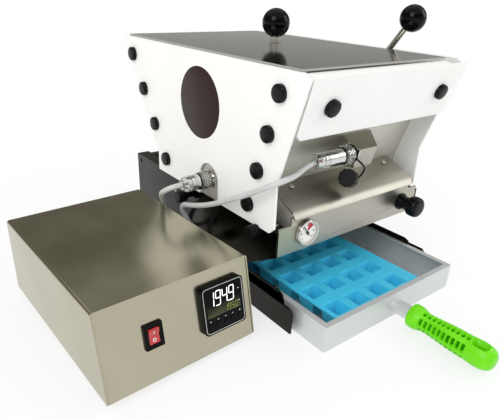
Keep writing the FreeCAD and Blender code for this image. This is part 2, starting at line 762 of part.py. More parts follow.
def crank_sides():
    """Each crank sits halfway between two pistons."""
    sides = cell_sides()
    return [(sides[0] + sides[1]) / 2, (sides[2] + sides[3]) / 2]


def cross_shaft():
    """The shaft across the chassis with two cranks and their pins."""
    reach = size("chassis_half") - size("chassis_sheet") - 0.4
    y, z = size("shaft_back"), size("shaft_high")
    bar = rod("shaft_bar", size("shaft_radius"), reach * 2, -reach, y, z, "X")
    pieces = [bar]
    angle = crank_angle(size("lever_lean"))
    arm = float(size("crank_reach"))
    for index, x in enumerate(crank_sides()):
        thick = float(size("crank_thick"))
        crank = doc.addObject("Part::Feature", f"crank_{index}")
        foot = Vector(float(x) - thick / 2, float(y), float(z))
        tip = foot + Vector(0, -arm * math.sin(angle), arm * math.cos(angle))
        web = crank_web(foot, tip, thick)
        pin = Part.makeCylinder(float(size("crank_pin")), thick + 12, tip - Vector(6, 0, 0),
                                Vector(1, 0, 0))
        crank.Shape = web.fuse(pin)
        pieces.append(crank)
    return node(join("cross_shaft", pieces))


def crank_web(foot, tip, thick):
    """A flat lever that narrows from the shaft's boss to the pin."""
    big, small = 10.0, 5.0
    disc = Part.makeCylinder(big, thick, foot, Vector(1, 0, 0))
    eye = Part.makeCylinder(small, thick, tip, Vector(1, 0, 0))
    along = (tip - foot).normalize()
    across = Vector(1, 0, 0).cross(along)
    corners = [foot + across * big * 0.9, foot - across * big * 0.9,
               tip - across * small * 0.9, tip + across * small * 0.9]
    web = Part.Face(Part.makePolygon(corners + [corners[0]])).extrude(Vector(thick, 0, 0))
    return disc.fuse([eye, web]).removeSplitter()


def piston_gang():
    """Four pistons on one bar, whose forks take the crank pins."""
    tip = crank_tip()
    high = size("piston_high")
    bar_y = tip - 14
    bar = box("bar_beam", (cell_sides()[0] - 10, cell_sides()[-1] + 10),
              (bar_y - size("bar_deep"), bar_y),
              (high - size("bar_tall") / 2, high + size("bar_tall") / 2))
    pieces = [bar]
    pin, gap = float(size("crank_pin")), float(size("fork_gap"))
    for index, x in enumerate(crank_sides()):
        for side in (-1, 1):
            thick = 4.0
            start = float(x) + (float(size("crank_thick")) / 2 + 1.2 if side > 0 else
                                -float(size("crank_thick")) / 2 - 1.2 - thick)
            cheek = box(f"fork_{index}_{side}", (start, start + thick), (bar_y - 1, tip + 9.0),
                        (high - 8, high + 5.5))
            slot = box(f"fork_slot_{index}_{side}", (start - 1, start + thick + 1),
                       (tip - pin - gap, tip + pin + gap), (high - 9, high + 6))
            bridge = box(f"fork_top_{index}_{side}", (start, start + thick), (tip - 9, tip + 9.0),
                         (high + 4.2, high + 7))
            pieces.append(cut(f"fork_cheek_{index}_{side}", cheek, [slot]))
            pieces.append(bridge)
    node(join("piston_bar", pieces))
    stroke_front = piston_front()
    rods = []
    for index, x in enumerate(cell_sides()):
        head_long = 16.0
        head = rod(f"piston_head_{index}", size("piston_radius"), head_long, x, stroke_front, high, "Y")
        stem = rod(f"piston_stem_{index}", size("piston_rod"), bar_y - size("bar_deep") - stroke_front, x,
                   stroke_front, high, "Y")
        rods.append(join(f"piston_{index}", [head, stem]))
    node(group("pistons", rods))


def piston_front():
    """The y of the pistons' faces in the drawn pose."""
    full = float(size("crank_reach")) * math.sin(math.radians(32))
    now = float(size("crank_reach")) * math.sin(crank_angle(size("lever_lean")))
    most = -float(size("nozzle_line")) + 2.5
    return most + (full - now)


def lever():
    """The lever's hub and rod, and its ball."""
    x, y, z = size("chassis_half") - size("lever_inset"), size("shaft_back"), size("shaft_high")
    lean = math.radians(float(size("lever_lean")))
    up = Vector(0, -math.sin(lean), math.cos(lean))
    hub_long = float(size("hub_long"))
    origin = Vector(float(x), float(y), float(z))
    hub = Part.makeCylinder(float(size("hub_radius")), hub_long, origin - Vector(hub_long / 2, 0, 0),
                            Vector(1, 0, 0))
    long = float(size("lever_long")) - ball_drop(size("lever_ball_radius"))
    stem = Part.makeCylinder(float(size("lever_radius")), long, origin, up)
    bore = Part.makeCylinder(float(size("shaft_radius")), hub_long + 2,
                             origin - Vector(hub_long / 2 + 1, 0, 0), Vector(1, 0, 0))
    made = doc.addObject("Part::Feature", "lever_rod")
    made.Label = "lever_rod"
    made.Shape = hub.fuse(stem).cut(bore).removeSplitter()
    node(made)
    turn = Rotation(Vector(1, 0, 0), math.degrees(lean))
    tip = origin + up * long
    node(ball_knob("lever_ball", size("lever_ball_radius"), tip.x, tip.y, tip.z, turn))


def shaft_bushes():
    """Two flanged bushes inside the chassis sides that carry the cross shaft."""
    inner = size("chassis_half") - size("chassis_sheet")
    y, z = size("shaft_back"), size("shaft_high")
    bushes = []
    for name, start, along in (("left", -inner, "X"), ("right", inner, "-X")):
        ring = rod(f"bush_{name}_ring", size("bush_radius"), size("bush_long"), start, y, z, along)
        bore = rod(f"bush_{name}_bore", size("shaft_radius") + size("shaft_fit"), size("bush_long"),
                   start, y, z, along)
        bushes.append(cut(f"bush_{name}", ring, [bore]))
    return node(group("shaft_bushes", bushes))


def thermometer():
    """A dial thermometer: a cup with a probe, a dial and a needle."""
    x, z = size("dial_side"), size("dial_high")
    face = -size("chassis_front")
    radius, thick, wall = size("dial_radius"), size("dial_thick"), size("dial_wall")
    probe = size("probe_radius")
    profile = [(0, -size("probe_long")), (probe, -size("probe_long")), (probe, 0), (radius - 1, 0),
               (radius, 1), (radius, thick - 0.8), (radius - 0.6, thick), (radius - wall, thick),
               (radius - wall, 1.6), (0, 1.6)]
    node(turned("thermometer_case", profile, x, face, z, "-Y"))
    node(rod("thermometer_dial", radius - wall - 0.2, 0.8, x, face - 1.6, z, "-Y"))
    needle = doc.addObject("Part::Feature", "thermometer_needle")
    needle.Label = "thermometer_needle"
    boss = Part.makeCylinder(1.6, 1.2)
    corners = [Vector(-0.9, -4, 0), Vector(0.9, -4, 0), Vector(0.25, 10, 0), Vector(-0.25, 10, 0)]
    blade = Part.makePolygon(corners + [corners[0]])
    needle.Shape = boss.fuse(Part.Face(blade).extrude(Vector(0, 0, 0.6))).removeSplitter()
    needle.Placement = Placement(Vector(float(x), float(face) - 2.8, float(z)),
                                 TURNS["-Y"].multiply(Rotation(Vector(0, 0, 1), 35)))
    node(needle)


def lobed_head(radius, thick, lobes, depth):
    """A round head with a scalloped rim, standing on the origin along Z."""
    head = Part.makeCylinder(radius, thick)
    bite = radius * math.pi / lobes * 0.62
    centre = radius + bite - depth
    for index in range(lobes):
        angle = 2 * math.pi * index / lobes
        spot = Vector(centre * math.cos(angle), centre * math.sin(angle), -1)
        head = head.cut(Part.makeCylinder(bite, thick + 2, spot))
    return head


def front_knob():
    """A black lobed knob on a neck, in front of a thin washer."""
    made = doc.addObject("Part::Feature", "front_knob")
    made.Label = "front_knob"
    reach, head = float(size("knob_reach")), float(size("knob_head"))
    gap = 0.3
    washer = Part.makeCylinder(float(size("washer_radius")), float(size("washer_thick")),
                               Vector(0, 0, gap))
    deep = float(size("chassis_sheet")) - gap
    stud = Part.makeCylinder(float(size("knob_stud")), gap + deep + 1, Vector(0, 0, -deep))
    neck = Part.makeCone(float(size("knob_neck")), float(size("knob_waist")), reach - head - 1,
                         Vector(0, 0, gap + 1))
    cap = lobed_head(float(size("knob_radius")), head, 7, 1.6)
    cap.translate(Vector(0, 0, reach - head))
    made.Shape = washer.fuse([stud, neck, cap]).removeSplitter()
    made.Placement = Placement(Vector(float(size("knob_side")), -float(size("chassis_front")),
                                      float(size("knob_high"))), TURNS["-Y"])
    return node(made)


def thumb_knob(label, place_name):
    """A ribbed thumb screw through the chassis side."""
    made = doc.addObject("Part::Feature", label)
    made.Label = label
    long = float(size("thumb_long"))
    neck = float(size("panel_stand")) + 0.6
    head = lobed_head(float(size("thumb_radius")), long - neck, 12, 0.7)
    head.translate(Vector(0, 0, neck))
    collar = Part.makeCylinder(3.6, neck, Vector(0, 0, 0.3))
    stud = Part.makeCylinder(float(size("thumb_stud")), 10, Vector(0, 0, -8))
    made.Shape = head.fuse([collar, stud]).removeSplitter()
    made.Placement = Placement(Vector(-float(size("chassis_half")), float(size(place_name)),
                                      float(size(f"{place_name}_high"))), TURNS["-X"])
    return node(made)


def connector_box():
    """The small housing on the hopper's front that carries the front socket."""
    left, right = size("wedge_left"), size("wedge_right")
    wall_top = jacket_front(size("wedge_top"))
    wall_low = jacket_front(size("wedge_low"))
    points = [(wall_top, size("wedge_top")), (-size("wedge_apex"), size("wedge_apex_high")),
              (-size("wedge_chin"), size("wedge_low")), (wall_low, size("wedge_low"))]
    solid = outline("wedge_solid", "YZ", points, right - left, x=left)
    trim = doc.addObject("Part::Feature", "wedge_trim")
    near = float(size("wedge_right_front"))
    apex = Vector(near, -float(size("wedge_apex")), float(size("wedge_apex_high")))
    chin = Vector(near, -float(size("wedge_chin")), float(size("wedge_low")))
    wall_side = Vector(float(right), wall_top, float(size("wedge_top")))
    down, back = (chin - apex) * 3, (wall_side - apex) * 3
    corners = [apex - down - back, apex + down - back, apex + down + back, apex - down + back]
    trim.Shape = Part.Face(Part.makePolygon(corners + [corners[0]])).extrude(Vector(120, 0, 0))
    return node(cut("connector_box", solid, [trim]))


def round_connector(name, x, y, z, flange_turn):
    """A socket with a square flange, the plug on it and the plug's knurled ring."""
    flange = float(size("socket_flange"))
    square = doc.addObject("Part::Feature", f"{name}_flange")
    square.Shape = Part.makeBox(2, flange, flange, Vector(-2, -flange / 2, -flange / 2))
    turn = Rotation(Vector(1, 0, 0), float(flange_turn))
    square.Placement = Placement(Vector(float(x), float(y), float(z)), turn)
    neck, ring_long = size("socket_neck"), size("ring_long")
    barrel = rod(f"{name}_barrel", size("socket_radius"), neck + ring_long, x, y, z, "-X")
    node(join(f"{name}_socket", [square, barrel]))
    outer, inner = size("plug_radius"), size("socket_radius")
    ring_profile = [(inner + 0.3, 0), (outer + 0.6, 0), (outer + 0.6, ring_long - 1), (outer, ring_long),
                    (inner + 0.3, ring_long)]
    node(turned(f"{name}_ring", ring_profile, x - neck, y, z, "-X"))
    plug_start = x - neck - ring_long - 0.3
    long = size(f"{name}_plug_long")
    plug_profile = [(0, -0.3), (inner - 0.5, -0.3), (inner - 0.5, 0), (outer - 1.1, 0),
                    (outer - 1.1, 1), (outer - 0.3, 1.5), (outer - 0.3, long - 9),
                    (outer - 1.8, long - 8), (outer - 1.8, long - 2), (outer - 3, long), (0, long)]
    node(turned(f"{name}_plug", plug_profile, plug_start, y, z, "-X"))
    return float(plug_start) - float(long)


def dust_cap():
    """A rubber cap on a strap that hangs from an eyelet round the front socket."""
    x, y, z = (float(size(name)) for name in ("wedge_left", "front_plug_y", "front_plug_z"))
    inner = float(size("socket_radius")) + 0.15
    strap_radius = 1.0
    before_flange = x - 2.3 - strap_radius
    eyelet = Part.makeCylinder(inner + 2.2, 1.2, Vector(x - 2.3, y, z), Vector(-1, 0, 0))
    eyelet = eyelet.cut(Part.makeCylinder(inner, 2, Vector(x - 2, y, z), Vector(-1, 0, 0)))
    facing = Vector(-0.84, -0.38, 0.37).normalize()
    heart = Vector(x - 9.5, y - 6.5, z - 24.8)
    deep = 13.0
    cap = lobed_head(10.2, deep - 1.4, 10, 0.8)
    cap = cap.fuse(Part.makeCylinder(9.2, 1.4, Vector(0, 0, deep - 1.4)))
    cap.Placement = Placement(heart - facing * (deep / 2), Rotation(Vector(0, 0, 1), facing))
    route = [Vector(before_flange, y - inner - 1, z - 3), Vector(before_flange, y - 17.4, z - 6.2),
             Vector(x + 6.6, y - 14.5, z - 13.5), Vector(x + 6.2, y - 11.5, z - 22.4),
             Vector(x + 1.5, y - 6, z - 29), heart - facing * 4]
    strap = sweep_round(soft_path(route), strap_radius)
    made = doc.addObject("Part::Feature", "dust_cap")
    made.Label = "dust_cap"
    made.Shape = eyelet.fuse([cap, strap]).removeSplitter()
    return node(made)


def soft_path(points):
    """Straight runs joined by tangent arcs, as large as the runs allow."""
    edges, radii = [], []
    here = points[0]
    for before, corner, after in zip(points, points[1:], points[2:]):
        inwards, outwards = corner - before, after - corner
        shorter = min(inwards.Length, outwards.Length)
        half = inwards.getAngle(outwards) / 2
        radius = 0.45 * shorter / math.tan(half)
        reach = 0.45 * shorter
        arc_start = corner - inwards.normalize() * reach
        arc_end = corner + outwards.normalize() * reach
        bisector = (arc_start + arc_end) * 0.5 - corner
        centre = corner + bisector.normalize() * (radius / math.cos(half))
        crest = centre + (corner - centre).normalize() * radius
        edges.append(Part.LineSegment(here, arc_start).toShape())
        edges.append(Part.Arc(arc_start, crest, arc_end).toShape())
        radii.append(radius)
        here = arc_end
    edges.append(Part.LineSegment(here, points[-1]).toShape())
    wire = Part.Wire(edges)
    wire_radii[wire.hashCode()] = radii
    return wire


wire_radii = {}


def sweep_round(path, radius):
    start = path.Edges[0].valueAt(path.Edges[0].FirstParameter)
    ahead = path.Edges[0].tangentAt(path.Edges[0].FirstParameter)
    ring = Part.Wire(Part.makeCircle(radius, start, ahead))
    return path.makePipeShell([ring], True, True)


def cord(label, points):
    """One cable: a plain tube along its route."""
    path = soft_path(points)
    made = doc.addObject("Part::Feature", label)
    made.Label = label
    radius = float(size("cable_radius"))
    made.Shape = sweep_round(path, radius)
    ideal = math.pi * radius ** 2 * path.Length
    smallest = min(wire_radii[path.hashCode()])
    print(f"{label}: length {path.Length:.1f}, smallest bend {smallest:.1f}, "
          f"volume share {made.Shape.Volume / ideal:.4f}")
    return node(made)


def tray():
    """A shallow folded pan with its top edges turned inwards."""
    half, wall, flange = guide_face() - size("tray_gap"), size("tray_sheet"), size("tray_flange")
    front, back = -size("tray_front"), size("tray_long") - size("tray_front")
    low, high = size("tray_low"), size("tray_high")
    block = box("tray_block", (-half, half), (front, back), (low, high))
    inside = box("tray_inside", (-half + wall, half - wall), (front + wall, back - wall),
                 (low + wall, high - wall))
    mouth = box("tray_mouth", (-half + flange, half - flange), (front + flange, back - flange),
                (high - wall - 1, high + 1))
    pan = cut("tray_pan", block, [inside, mouth])
    upright = rounded("tray", pan, size("tray_corner"),
                      lambda edge: abs(edge.Length - float(high - low)) < 0.01)
    return node(upright)


def handle():
    """The handle: a tube in the tray's front wall and a soft grip over it."""
    start = -size("tray_front")
    z, radius = size("tube_high"), size("tube_radius")
    grip = -size("grip_start")
    node(rod("tray_tube", radius, start - grip + size("tube_inside"), 0, start, z, "-Y"))
    profile = [(0, 0), (12.2, 0), (13.3, 1.2), (13.3, 8), (12.4, 11), (10.9, 15), (10.6, 21),
               (11.3, 32), (12.3, 44), (12.7, 56), (12.8, 66), (13.4, 74), (13.3, 81), (12.2, 87),
               (9.4, 91), (5.5, 92.7), (0, 93)]
    bulb = turned("grip_body", profile, 0, grip, z, "-Y")
    slot = doc.addObject("Part::Feature", "grip_slot")
    round_end, long = float(size("hang_radius")), float(size("hang_long"))
    hole = Part.makeCylinder(round_end, 60, Vector(0, 0, -30))
    far = Part.makeCylinder(round_end, 60, Vector(0, -long, -30))
    web = Part.makeBox(round_end * 2, long, 60, Vector(-round_end, -long, -30))
    slot.Shape = hole.fuse([far, web]).removeSplitter()
    place(slot, 0, grip - size("hang_place"), z)
    core = rod("grip_core", radius, start - grip + size("tube_inside"), 0, start, z, "-Y")
    return node(cut("tray_grip", bulb, [core, slot]))


def mould():
    """A silicone mould: a thin top sheet with hanging tapered cups."""
    left, wide = size("mould_left"), size("mould_wide")
    top, thin = size("mould_top"), size("mould_flange")
    front = -size("mould_front")
    rows = 6
    deep = size("cup_row_pitch") * (rows - 1) + (size("mould_front") + size("cup_row_first")) * 2
    flat = box("mould_sheet", (left, left + wide), (front, front + deep), (top - thin, top))
    doc.recompute()
    mouth, floor, tall, wall = (float(size(f"cup_{name}")) for name in ("mouth", "floor", "deep", "wall"))
    foot = float(top - size("tray_low") - size("tray_sheet")) - 0.3
    solid = flat.Shape
    hollows = []
    for column in cell_sides():
        for row in range(rows):
            y = float(size("cup_row_first")) + float(size("cup_row_pitch")) * row
            centre = Vector(float(column), y, float(top))
            solid = solid.fuse(pyramid(centre, mouth + wall * 2, floor + wall * 2, foot))
            hollows.append(pyramid(centre, mouth, floor, tall))
    solid = solid.cut(Part.makeCompound(hollows)).removeSplitter()
    made = doc.addObject("Part::Feature", "mould")
    made.Label = "mould"
    made.Shape = solid
    return node(made)


def pyramid(centre, wide_top, wide_low, tall):
    """A square tapered cup shape that hangs below its centre point."""
    rings = []
    for wide, drop in ((wide_top, 0), (wide_low, tall)):
        half = wide / 2
        corners = [centre + Vector(u * half, v * half, -drop)
                   for u, v in ((-1, -1), (1, -1), (1, 1), (-1, 1))]
        rings.append(Part.makePolygon(corners + [corners[0]]))
    return Part.makeLoft(rings, True, True)


def on_box(thing, inner=None):
    """Move a piece from the control box's own frame to its place."""
    base = Vector(float(size("box_right")), float(size("box_back")), 0)
    frame = Placement(base, Rotation(Vector(0, 0, 1), float(size("box_turn"))))
    thing.Placement = frame.multiply(inner or Placement())
    return thing


def panel_tilt():
    """How far the control box's front leans back from upright, in degrees."""
    run = size("box_low_deep") - size("box_top_deep")
    return math.degrees(math.atan2(float(run), float(size("box_high") - size("box_low"))))


def on_panel(side, drop, out=0.0):
    """The placement of a piece on the leaning front, its Z pointing out of it."""
    tilt = math.radians(panel_tilt())
    down = Vector(0, -math.sin(tilt), -math.cos(tilt))
    outward = Vector(0, -math.cos(tilt), math.sin(tilt))
    edge_y = -float(size("box_top_deep")) + float(size("box_reveal"))
    top = Vector(float(side), edge_y, float(size("box_high")))
    turn = Rotation(Vector(1, 0, 0), 90 - panel_tilt())
    return Placement(top + down * float(drop) + outward * float(out), turn)


def control_base():
    """A folded tray: the box's leaning front, its floor and its back."""
    wall = float(size("box_sheet"))
    reveal = float(size("box_reveal"))
    low, high = float(size("box_low")), float(size("box_high")) - wall - 0.2
    top_front = -float(size("box_top_deep")) + reveal
    low_front = -float(size("box_low_deep")) + reveal
    lean = (low_front - top_front) / (float(size("box_high")) - low)
    line = [(top_front + lean * (float(size("box_high")) - high), high), (low_front, low), (-0.2, low),
            (-0.2, high)]
    inner = offset_line(line, wall)
    wide = float(size("box_wide")) - wall * 2 - 0.4
    blank = outline("base_blank", "YZ", line + list(reversed(inner)), wide, x=-wide - wall - 0.2)
    cuts = []
    fit = 0.4
    windows = {"pid": (float(size("pid_body")), float(size("pid_body"))),
               "switch": (float(size("switch_body_wide")), float(size("switch_body_tall")))}
    for name, (across, along) in windows.items():
        window = doc.addObject("Part::Feature", f"base_window_{name}")
        window.Shape = Part.makeBox(across + fit, along + fit, 12,
                                    Vector(-(across + fit) / 2, -(along + fit) / 2, -6))
        window.Placement = on_panel(size(f"{name}_side"), size(f"{name}_drop"))
        cuts.append(window)
    inlet = doc.addObject("Part::Feature", "base_window_inlet")
    inlet.Shape = Part.makeBox(28, 12, 20, Vector(-94, -6, 28))
    cuts.append(inlet)
    return node(on_box(cut("control_base", blank, cuts)))


def control_cover():
    """The box's cover: one sheet folded over the top and both sides."""
    wide, wall, corner = (float(size(name)) for name in ("box_wide", "box_sheet", "box_corner"))
    low, high = float(size("box_low")) + 1, float(size("box_high"))
    deep = float(size("box_low_deep")) + 4
    outer = Part.makeBox(wide, deep, high - low, Vector(-wide, -deep + 1, low))
    top_edges = [edge for edge in outer.Edges if abs(middle(edge).z - high) < 0.01 and edge.Length > 200]
    outer = outer.makeFillet(corner, top_edges)
    inner = Part.makeBox(wide - wall * 2, deep + 4, high - low + 10,
                         Vector(-wide + wall, -deep - 1, low - 10 - wall))
    inner_top = [edge for edge in inner.Edges
                 if abs(middle(edge).z - high + wall) < 0.01 and edge.Length > 200]
    inner = inner.makeFillet(corner - wall, inner_top)
    skin = outer.cut(inner)
    tilt = math.radians(panel_tilt())
    top = Vector(-wide - 5, -float(size("box_top_deep")), high)
    down = Vector(0, -math.sin(tilt), -math.cos(tilt))
    ahead = Vector(0, -60, 0)
    corners = [top - down * 5, top + down * 120, top + down * 120 + ahead, top - down * 5 + ahead]
    wedge = Part.Face(Part.makePolygon(corners + [corners[0]])).extrude(Vector(wide + 10, 0, 0))
    skin = skin.cut(wedge)
    for name in ("gland_front_y", "gland_back_y"):
        start = Vector(-3, float(size(name)), float(size("gland_z")))
        skin = skin.cut(Part.makeCylinder(5, 6, start, Vector(1, 0, 0)))
    made = doc.addObject("Part::Feature", "control_cover")
    made.Label = "control_cover"
    made.Shape = skin
    return node(on_box(made))


def control_feet():
    """Four rubber feet."""
    radius = float(size("foot_pad_radius"))
    feet = []
    for x in (-16.0, 16.0 - float(size("box_wide"))):
        for y in (-18.0, 26.0 - float(size("box_low_deep"))):
            profile = [(0, 0), (radius - 1.5, 0), (radius, size("box_low")), (0, size("box_low"))]
            foot = turned(f"foot_{len(feet)}", profile, 0, 0, 0)
            feet.append(on_box(foot, Placement(Vector(x, y, 0), Rotation())))
    return node(group("control_feet", feet))


def key_sides():
    """The sideways places of the controller's five keys."""
    return [float(size("key_pitch")) * step for step in (-2, -1, 0, 1, 2)]


def pid_controller():
    """The temperature controller: its case, its window and five keys."""
    full, body = float(size("pid_size")), float(size("pid_body"))
    bezel, deep = float(size("pid_bezel")), float(size("pid_deep"))
    seat = on_panel(size("pid_side"), size("pid_drop"))
    face = Part.makeBox(full, full, bezel, Vector(-full / 2, -full / 2, 0))
    uprights = [edge for edge in face.Edges if abs(edge.Length - bezel) < 0.01]
    face = face.makeFillet(4, uprights)
    rear = Part.makeBox(body, body, deep, Vector(-body / 2, -body / 2, -deep))
    window = Part.makeBox(39, 27, 1.6, Vector(-19.5, -7.5, bezel - 1.6))
    shell = face.fuse(rear).cut(window)
    key = float(size("key_radius"))
    key_y = -15.0
    for side in key_sides():
        shell = shell.cut(Part.makeCylinder(key + 0.35, 3.6, Vector(side, key_y, bezel - 3.6)))
    case = doc.addObject("Part::Feature", "pid_case")
    case.Label = "pid_case"
    case.Shape = shell.removeSplitter()
    node(on_box(case, seat))
    screen = doc.addObject("Part::Feature", "pid_screen")
    screen.Label = "pid_screen"
    screen.Shape = Part.makeBox(38.6, 26.6, 1.2, Vector(-19.3, -7.3, bezel - 1.6))
    node(on_box(screen, seat))
    for index, side in enumerate(key_sides(), start=1):
        button = doc.addObject("Part::Feature", f"pid_key_{index}")
        button.Label = f"pid_key_{index}"
        stem = Part.makeCylinder(key, 3.2, Vector(side, key_y, bezel - 2.4))
        rim = [edge for edge in stem.Edges if abs(middle(edge).z - bezel - 0.8) < 0.01 and edge.Length > 10]
        button.Shape = stem.makeFillet(0.5, rim)
        node(on_box(button, seat))


def power_switch():
    """A rocker switch: a frame that clips into the front and its rocker."""
    wide, tall = float(size("switch_wide")), float(size("switch_tall"))
    seat = on_panel(size("switch_side"), size("switch_drop"))
    rim = Part.makeBox(wide, tall, 2, Vector(-wide / 2, -tall / 2, 0))
    uprights = [edge for edge in rim.Edges if abs(edge.Length - 2) < 0.01]
    rim = rim.makeFillet(1.2, uprights)
    rear_wide, rear_tall = float(size("switch_body_wide")), float(size("switch_body_tall"))
    rear = Part.makeBox(rear_wide, rear_tall, 16, Vector(-rear_wide / 2, -rear_tall / 2, -16))
    well = Part.makeBox(10.6, 16.6, 9, Vector(-5.3, -8.3, -6.8))
    pin, fit = float(size("rocker_pin")), float(size("rocker_pin_fit"))
    pin_long = float(size("rocker_pin_long"))
    pin_start = Vector(-pin_long / 2, 0, 0)
    pin_seat = Part.makeCylinder(pin + fit, pin_long + 0.4, pin_start - Vector(0.2, 0, 0), Vector(1, 0, 0))
    frame = doc.addObject("Part::Feature", "switch_frame")
    frame.Label = "switch_frame"
    frame.Shape = rim.fuse(rear).cut([well, pin_seat]).removeSplitter()
    node(on_box(frame, seat))
    rocker = doc.addObject("Part::Feature", "switch_rocker")
    rocker.Label = "switch_rocker"
    half = 7.6
    outline_points = [Vector(-5, -half, 1.2), Vector(-5, -half + 0.6, 3.0), Vector(-5, 0, 1.5),
                      Vector(-5, half - 0.6, 3.0), Vector(-5, half, 1.2), Vector(-5, 4.5, -2.6),
                      Vector(-5, -4.5, -2.6)]
    paddle = Part.Face(Part.makePolygon(outline_points + [outline_points[0]])).extrude(Vector(10, 0, 0))
    pivot = Part.makeCylinder(pin, pin_long, pin_start, Vector(1, 0, 0))
    rocker.Shape = paddle.fuse(pivot).removeSplitter()
    tip = Placement(Vector(0, 0, 0), Rotation(Vector(1, 0, 0), 7))
    node(on_box(rocker, seat.multiply(tip)))


def power_inlet():
    """A three-pin mains inlet in the back of the box."""
    body = Part.makeBox(27.4, 18, 19.4, Vector(-93.7, -18, 28.3))
    flange = Part.makeBox(48, 2.5, 24, Vector(-104, -0.2, 26))
    well = Part.makeBox(24, 16, 15.6, Vector(-92, -13.5, 30.2))
    shell = body.fuse(flange).cut(well)
    for x, z in ((-87, 36), (-80, 40), (-73, 36)):
        shell = shell.fuse(Part.makeBox(2, 13, 4, Vector(x - 1, -14, z)))
    for x in (-100, -60):
        shell = shell.cut(Part.makeCylinder(1.7, 6, Vector(x, -2, 38), Vector(0, 1, 0)))
    made = doc.addObject("Part::Feature", "power_inlet")
    made.Label = "power_inlet"
    made.Shape = shell.removeSplitter()
    return node(on_box(made))


def cable_glands():
    """Two glands on the right wall of the box, one for each cable."""
    reach = size("gland_reach")
    profile = [(0, -8), (4.6, -8), (4.6, 0), (7.5, 0), (7.5, 4.5), (6.2, 5), (5.6, reach - 1.5),
               (4.6, reach), (0, reach)]
    glands = []
    for name in ("gland_front_y", "gland_back_y"):
        gland = turned(f"{name}_body", profile, 0, 0, 0)
        inner = Placement(Vector(0, float(size(name)), float(size("gland_z"))), TURNS["X"])
        glands.append(on_box(gland, inner))
    return node(group("cable_glands", glands))


def gland_mouth(name, ahead):
    """A point straight out from a gland's mouth, in the machine's frame."""
    base = Vector(float(size("box_right")), float(size("box_back")), 0)
    frame = Placement(base, Rotation(Vector(0, 0, 1), float(size("box_turn"))))
    out = float(size("gland_reach")) + ahead
    return frame.multVec(Vector(out, float(size(name)), float(size("gland_z"))))


def cables(front_end, side_end):
    """The two heater cables, from the plugs down to the control box."""
    y, z = float(size("side_plug_y")), float(size("side_plug_z"))
    cord("cable_side", [Vector(side_end, y, z), Vector(-168.5, -29.3, 129.5), Vector(-175.5, -18, 121.5),
                        Vector(-170, -3, 112), Vector(-160, 15.5, 99.7), Vector(-147, 35, 83),
                        Vector(-137.5, 42, 68), Vector(-129, 44, 54), Vector(-127, 44.8, 42),
                        Vector(-132, 45.6, 34.5),
                        gland_mouth("gland_back_y", 8), gland_mouth("gland_back_y", 0)])
    y, z = float(size("front_plug_y")), float(size("front_plug_z"))
    cord("cable_front", [Vector(front_end, y, z), Vector(-80.5, -138, 170.3), Vector(-99, -147, 170.1),
                         Vector(-124, -158, 172.3), Vector(-134, -149, 164.2), Vector(-135.5, -122, 146),
                         Vector(-138, -88.3, 127.3), Vector(-139, -52, 108.8), Vector(-141, -24, 98.6),
                         Vector(-143, -4, 93.5), Vector(-141.5, 1, 84), Vector(-136, -1.5, 71.5),
                         Vector(-128.5, -2, 58), Vector(-126, -2, 45), Vector(-130, -1.6, 35),
                         gland_mouth("gland_front_y", 9), gland_mouth("gland_front_y", 0)])


side_panel("side_panel_left", -1)
side_panel("side_panel_right", 1)
screw_caps()
chassis_side("chassis_left", -1)
chassis_side("chassis_right", 1)
chassis_back()
tray_guide("guide_left", -1)
tray_guide("guide_right", 1)
hopper_jacket()
hopper_tank()
heater_pads()
lid_pieces()
front_guard()
pump_block()
hood()
front_plate()
nozzle_plate()
cross_shaft()
piston_gang()
lever()
shaft_bushes()
thermometer()
front_knob()
thumb_knob("thumb_knob_front", "thumb_front")
thumb_knob("thumb_knob_back", "thumb_back")
connector_box()
front_end = round_connector("front", size("wedge_left"), size("front_plug_y"), size("front_plug_z"),
                            size("socket_turn"))
side_end = round_connector("side", -(left_face() - size("panel_sheet")), size("side_plug_y"),
                           size("side_plug_z"), 0)
dust_cap()
tray()
handle()
mould()
control_base()
control_cover()
control_feet()
pid_controller()
power_switch()
power_inlet()
cable_glands()
cables(front_end, side_end)

doc.recompute()

failed = [thing.Label for thing in doc.Objects if "Invalid" in thing.State or "Error" in thing.State]
for thing in nodes:
    if thing.Shape.isNull() or not thing.Shape.isValid():
        failed.append(f"{thing.Label} shape")
if failed:
    raise RuntimeError(f"failed: {failed}")

for thing in nodes:
    thing.Shape.exportStep(f"parts/{thing.Label}.step")
    print(f"{thing.Label}: {len(thing.Shape.Solids)} solid(s), {thing.Shape.Volume:.0f} mm3")
print(f"{len(nodes)} nodes")
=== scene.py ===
# %% [markdown]
# # A candy depositor, dressed for the camera
#
# The real machine is a small workshop tool. Bent stainless sheet carries a
# heated hopper between two white plastic panels. A tray with a silicone mould
# slides under it, and a steel box on the left holds the temperature controller.
#
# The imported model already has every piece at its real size, so this script
# never moves one. It gives each surface a finish, swaps a few plain solids for
# finer meshes, and adds what is too small for the solids: screws, ribs, digits.
# We load the frame first, because every later piece rides on one of its bodies.

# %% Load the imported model
import math

import bmesh
import bpy
from mathutils import Matrix, Vector


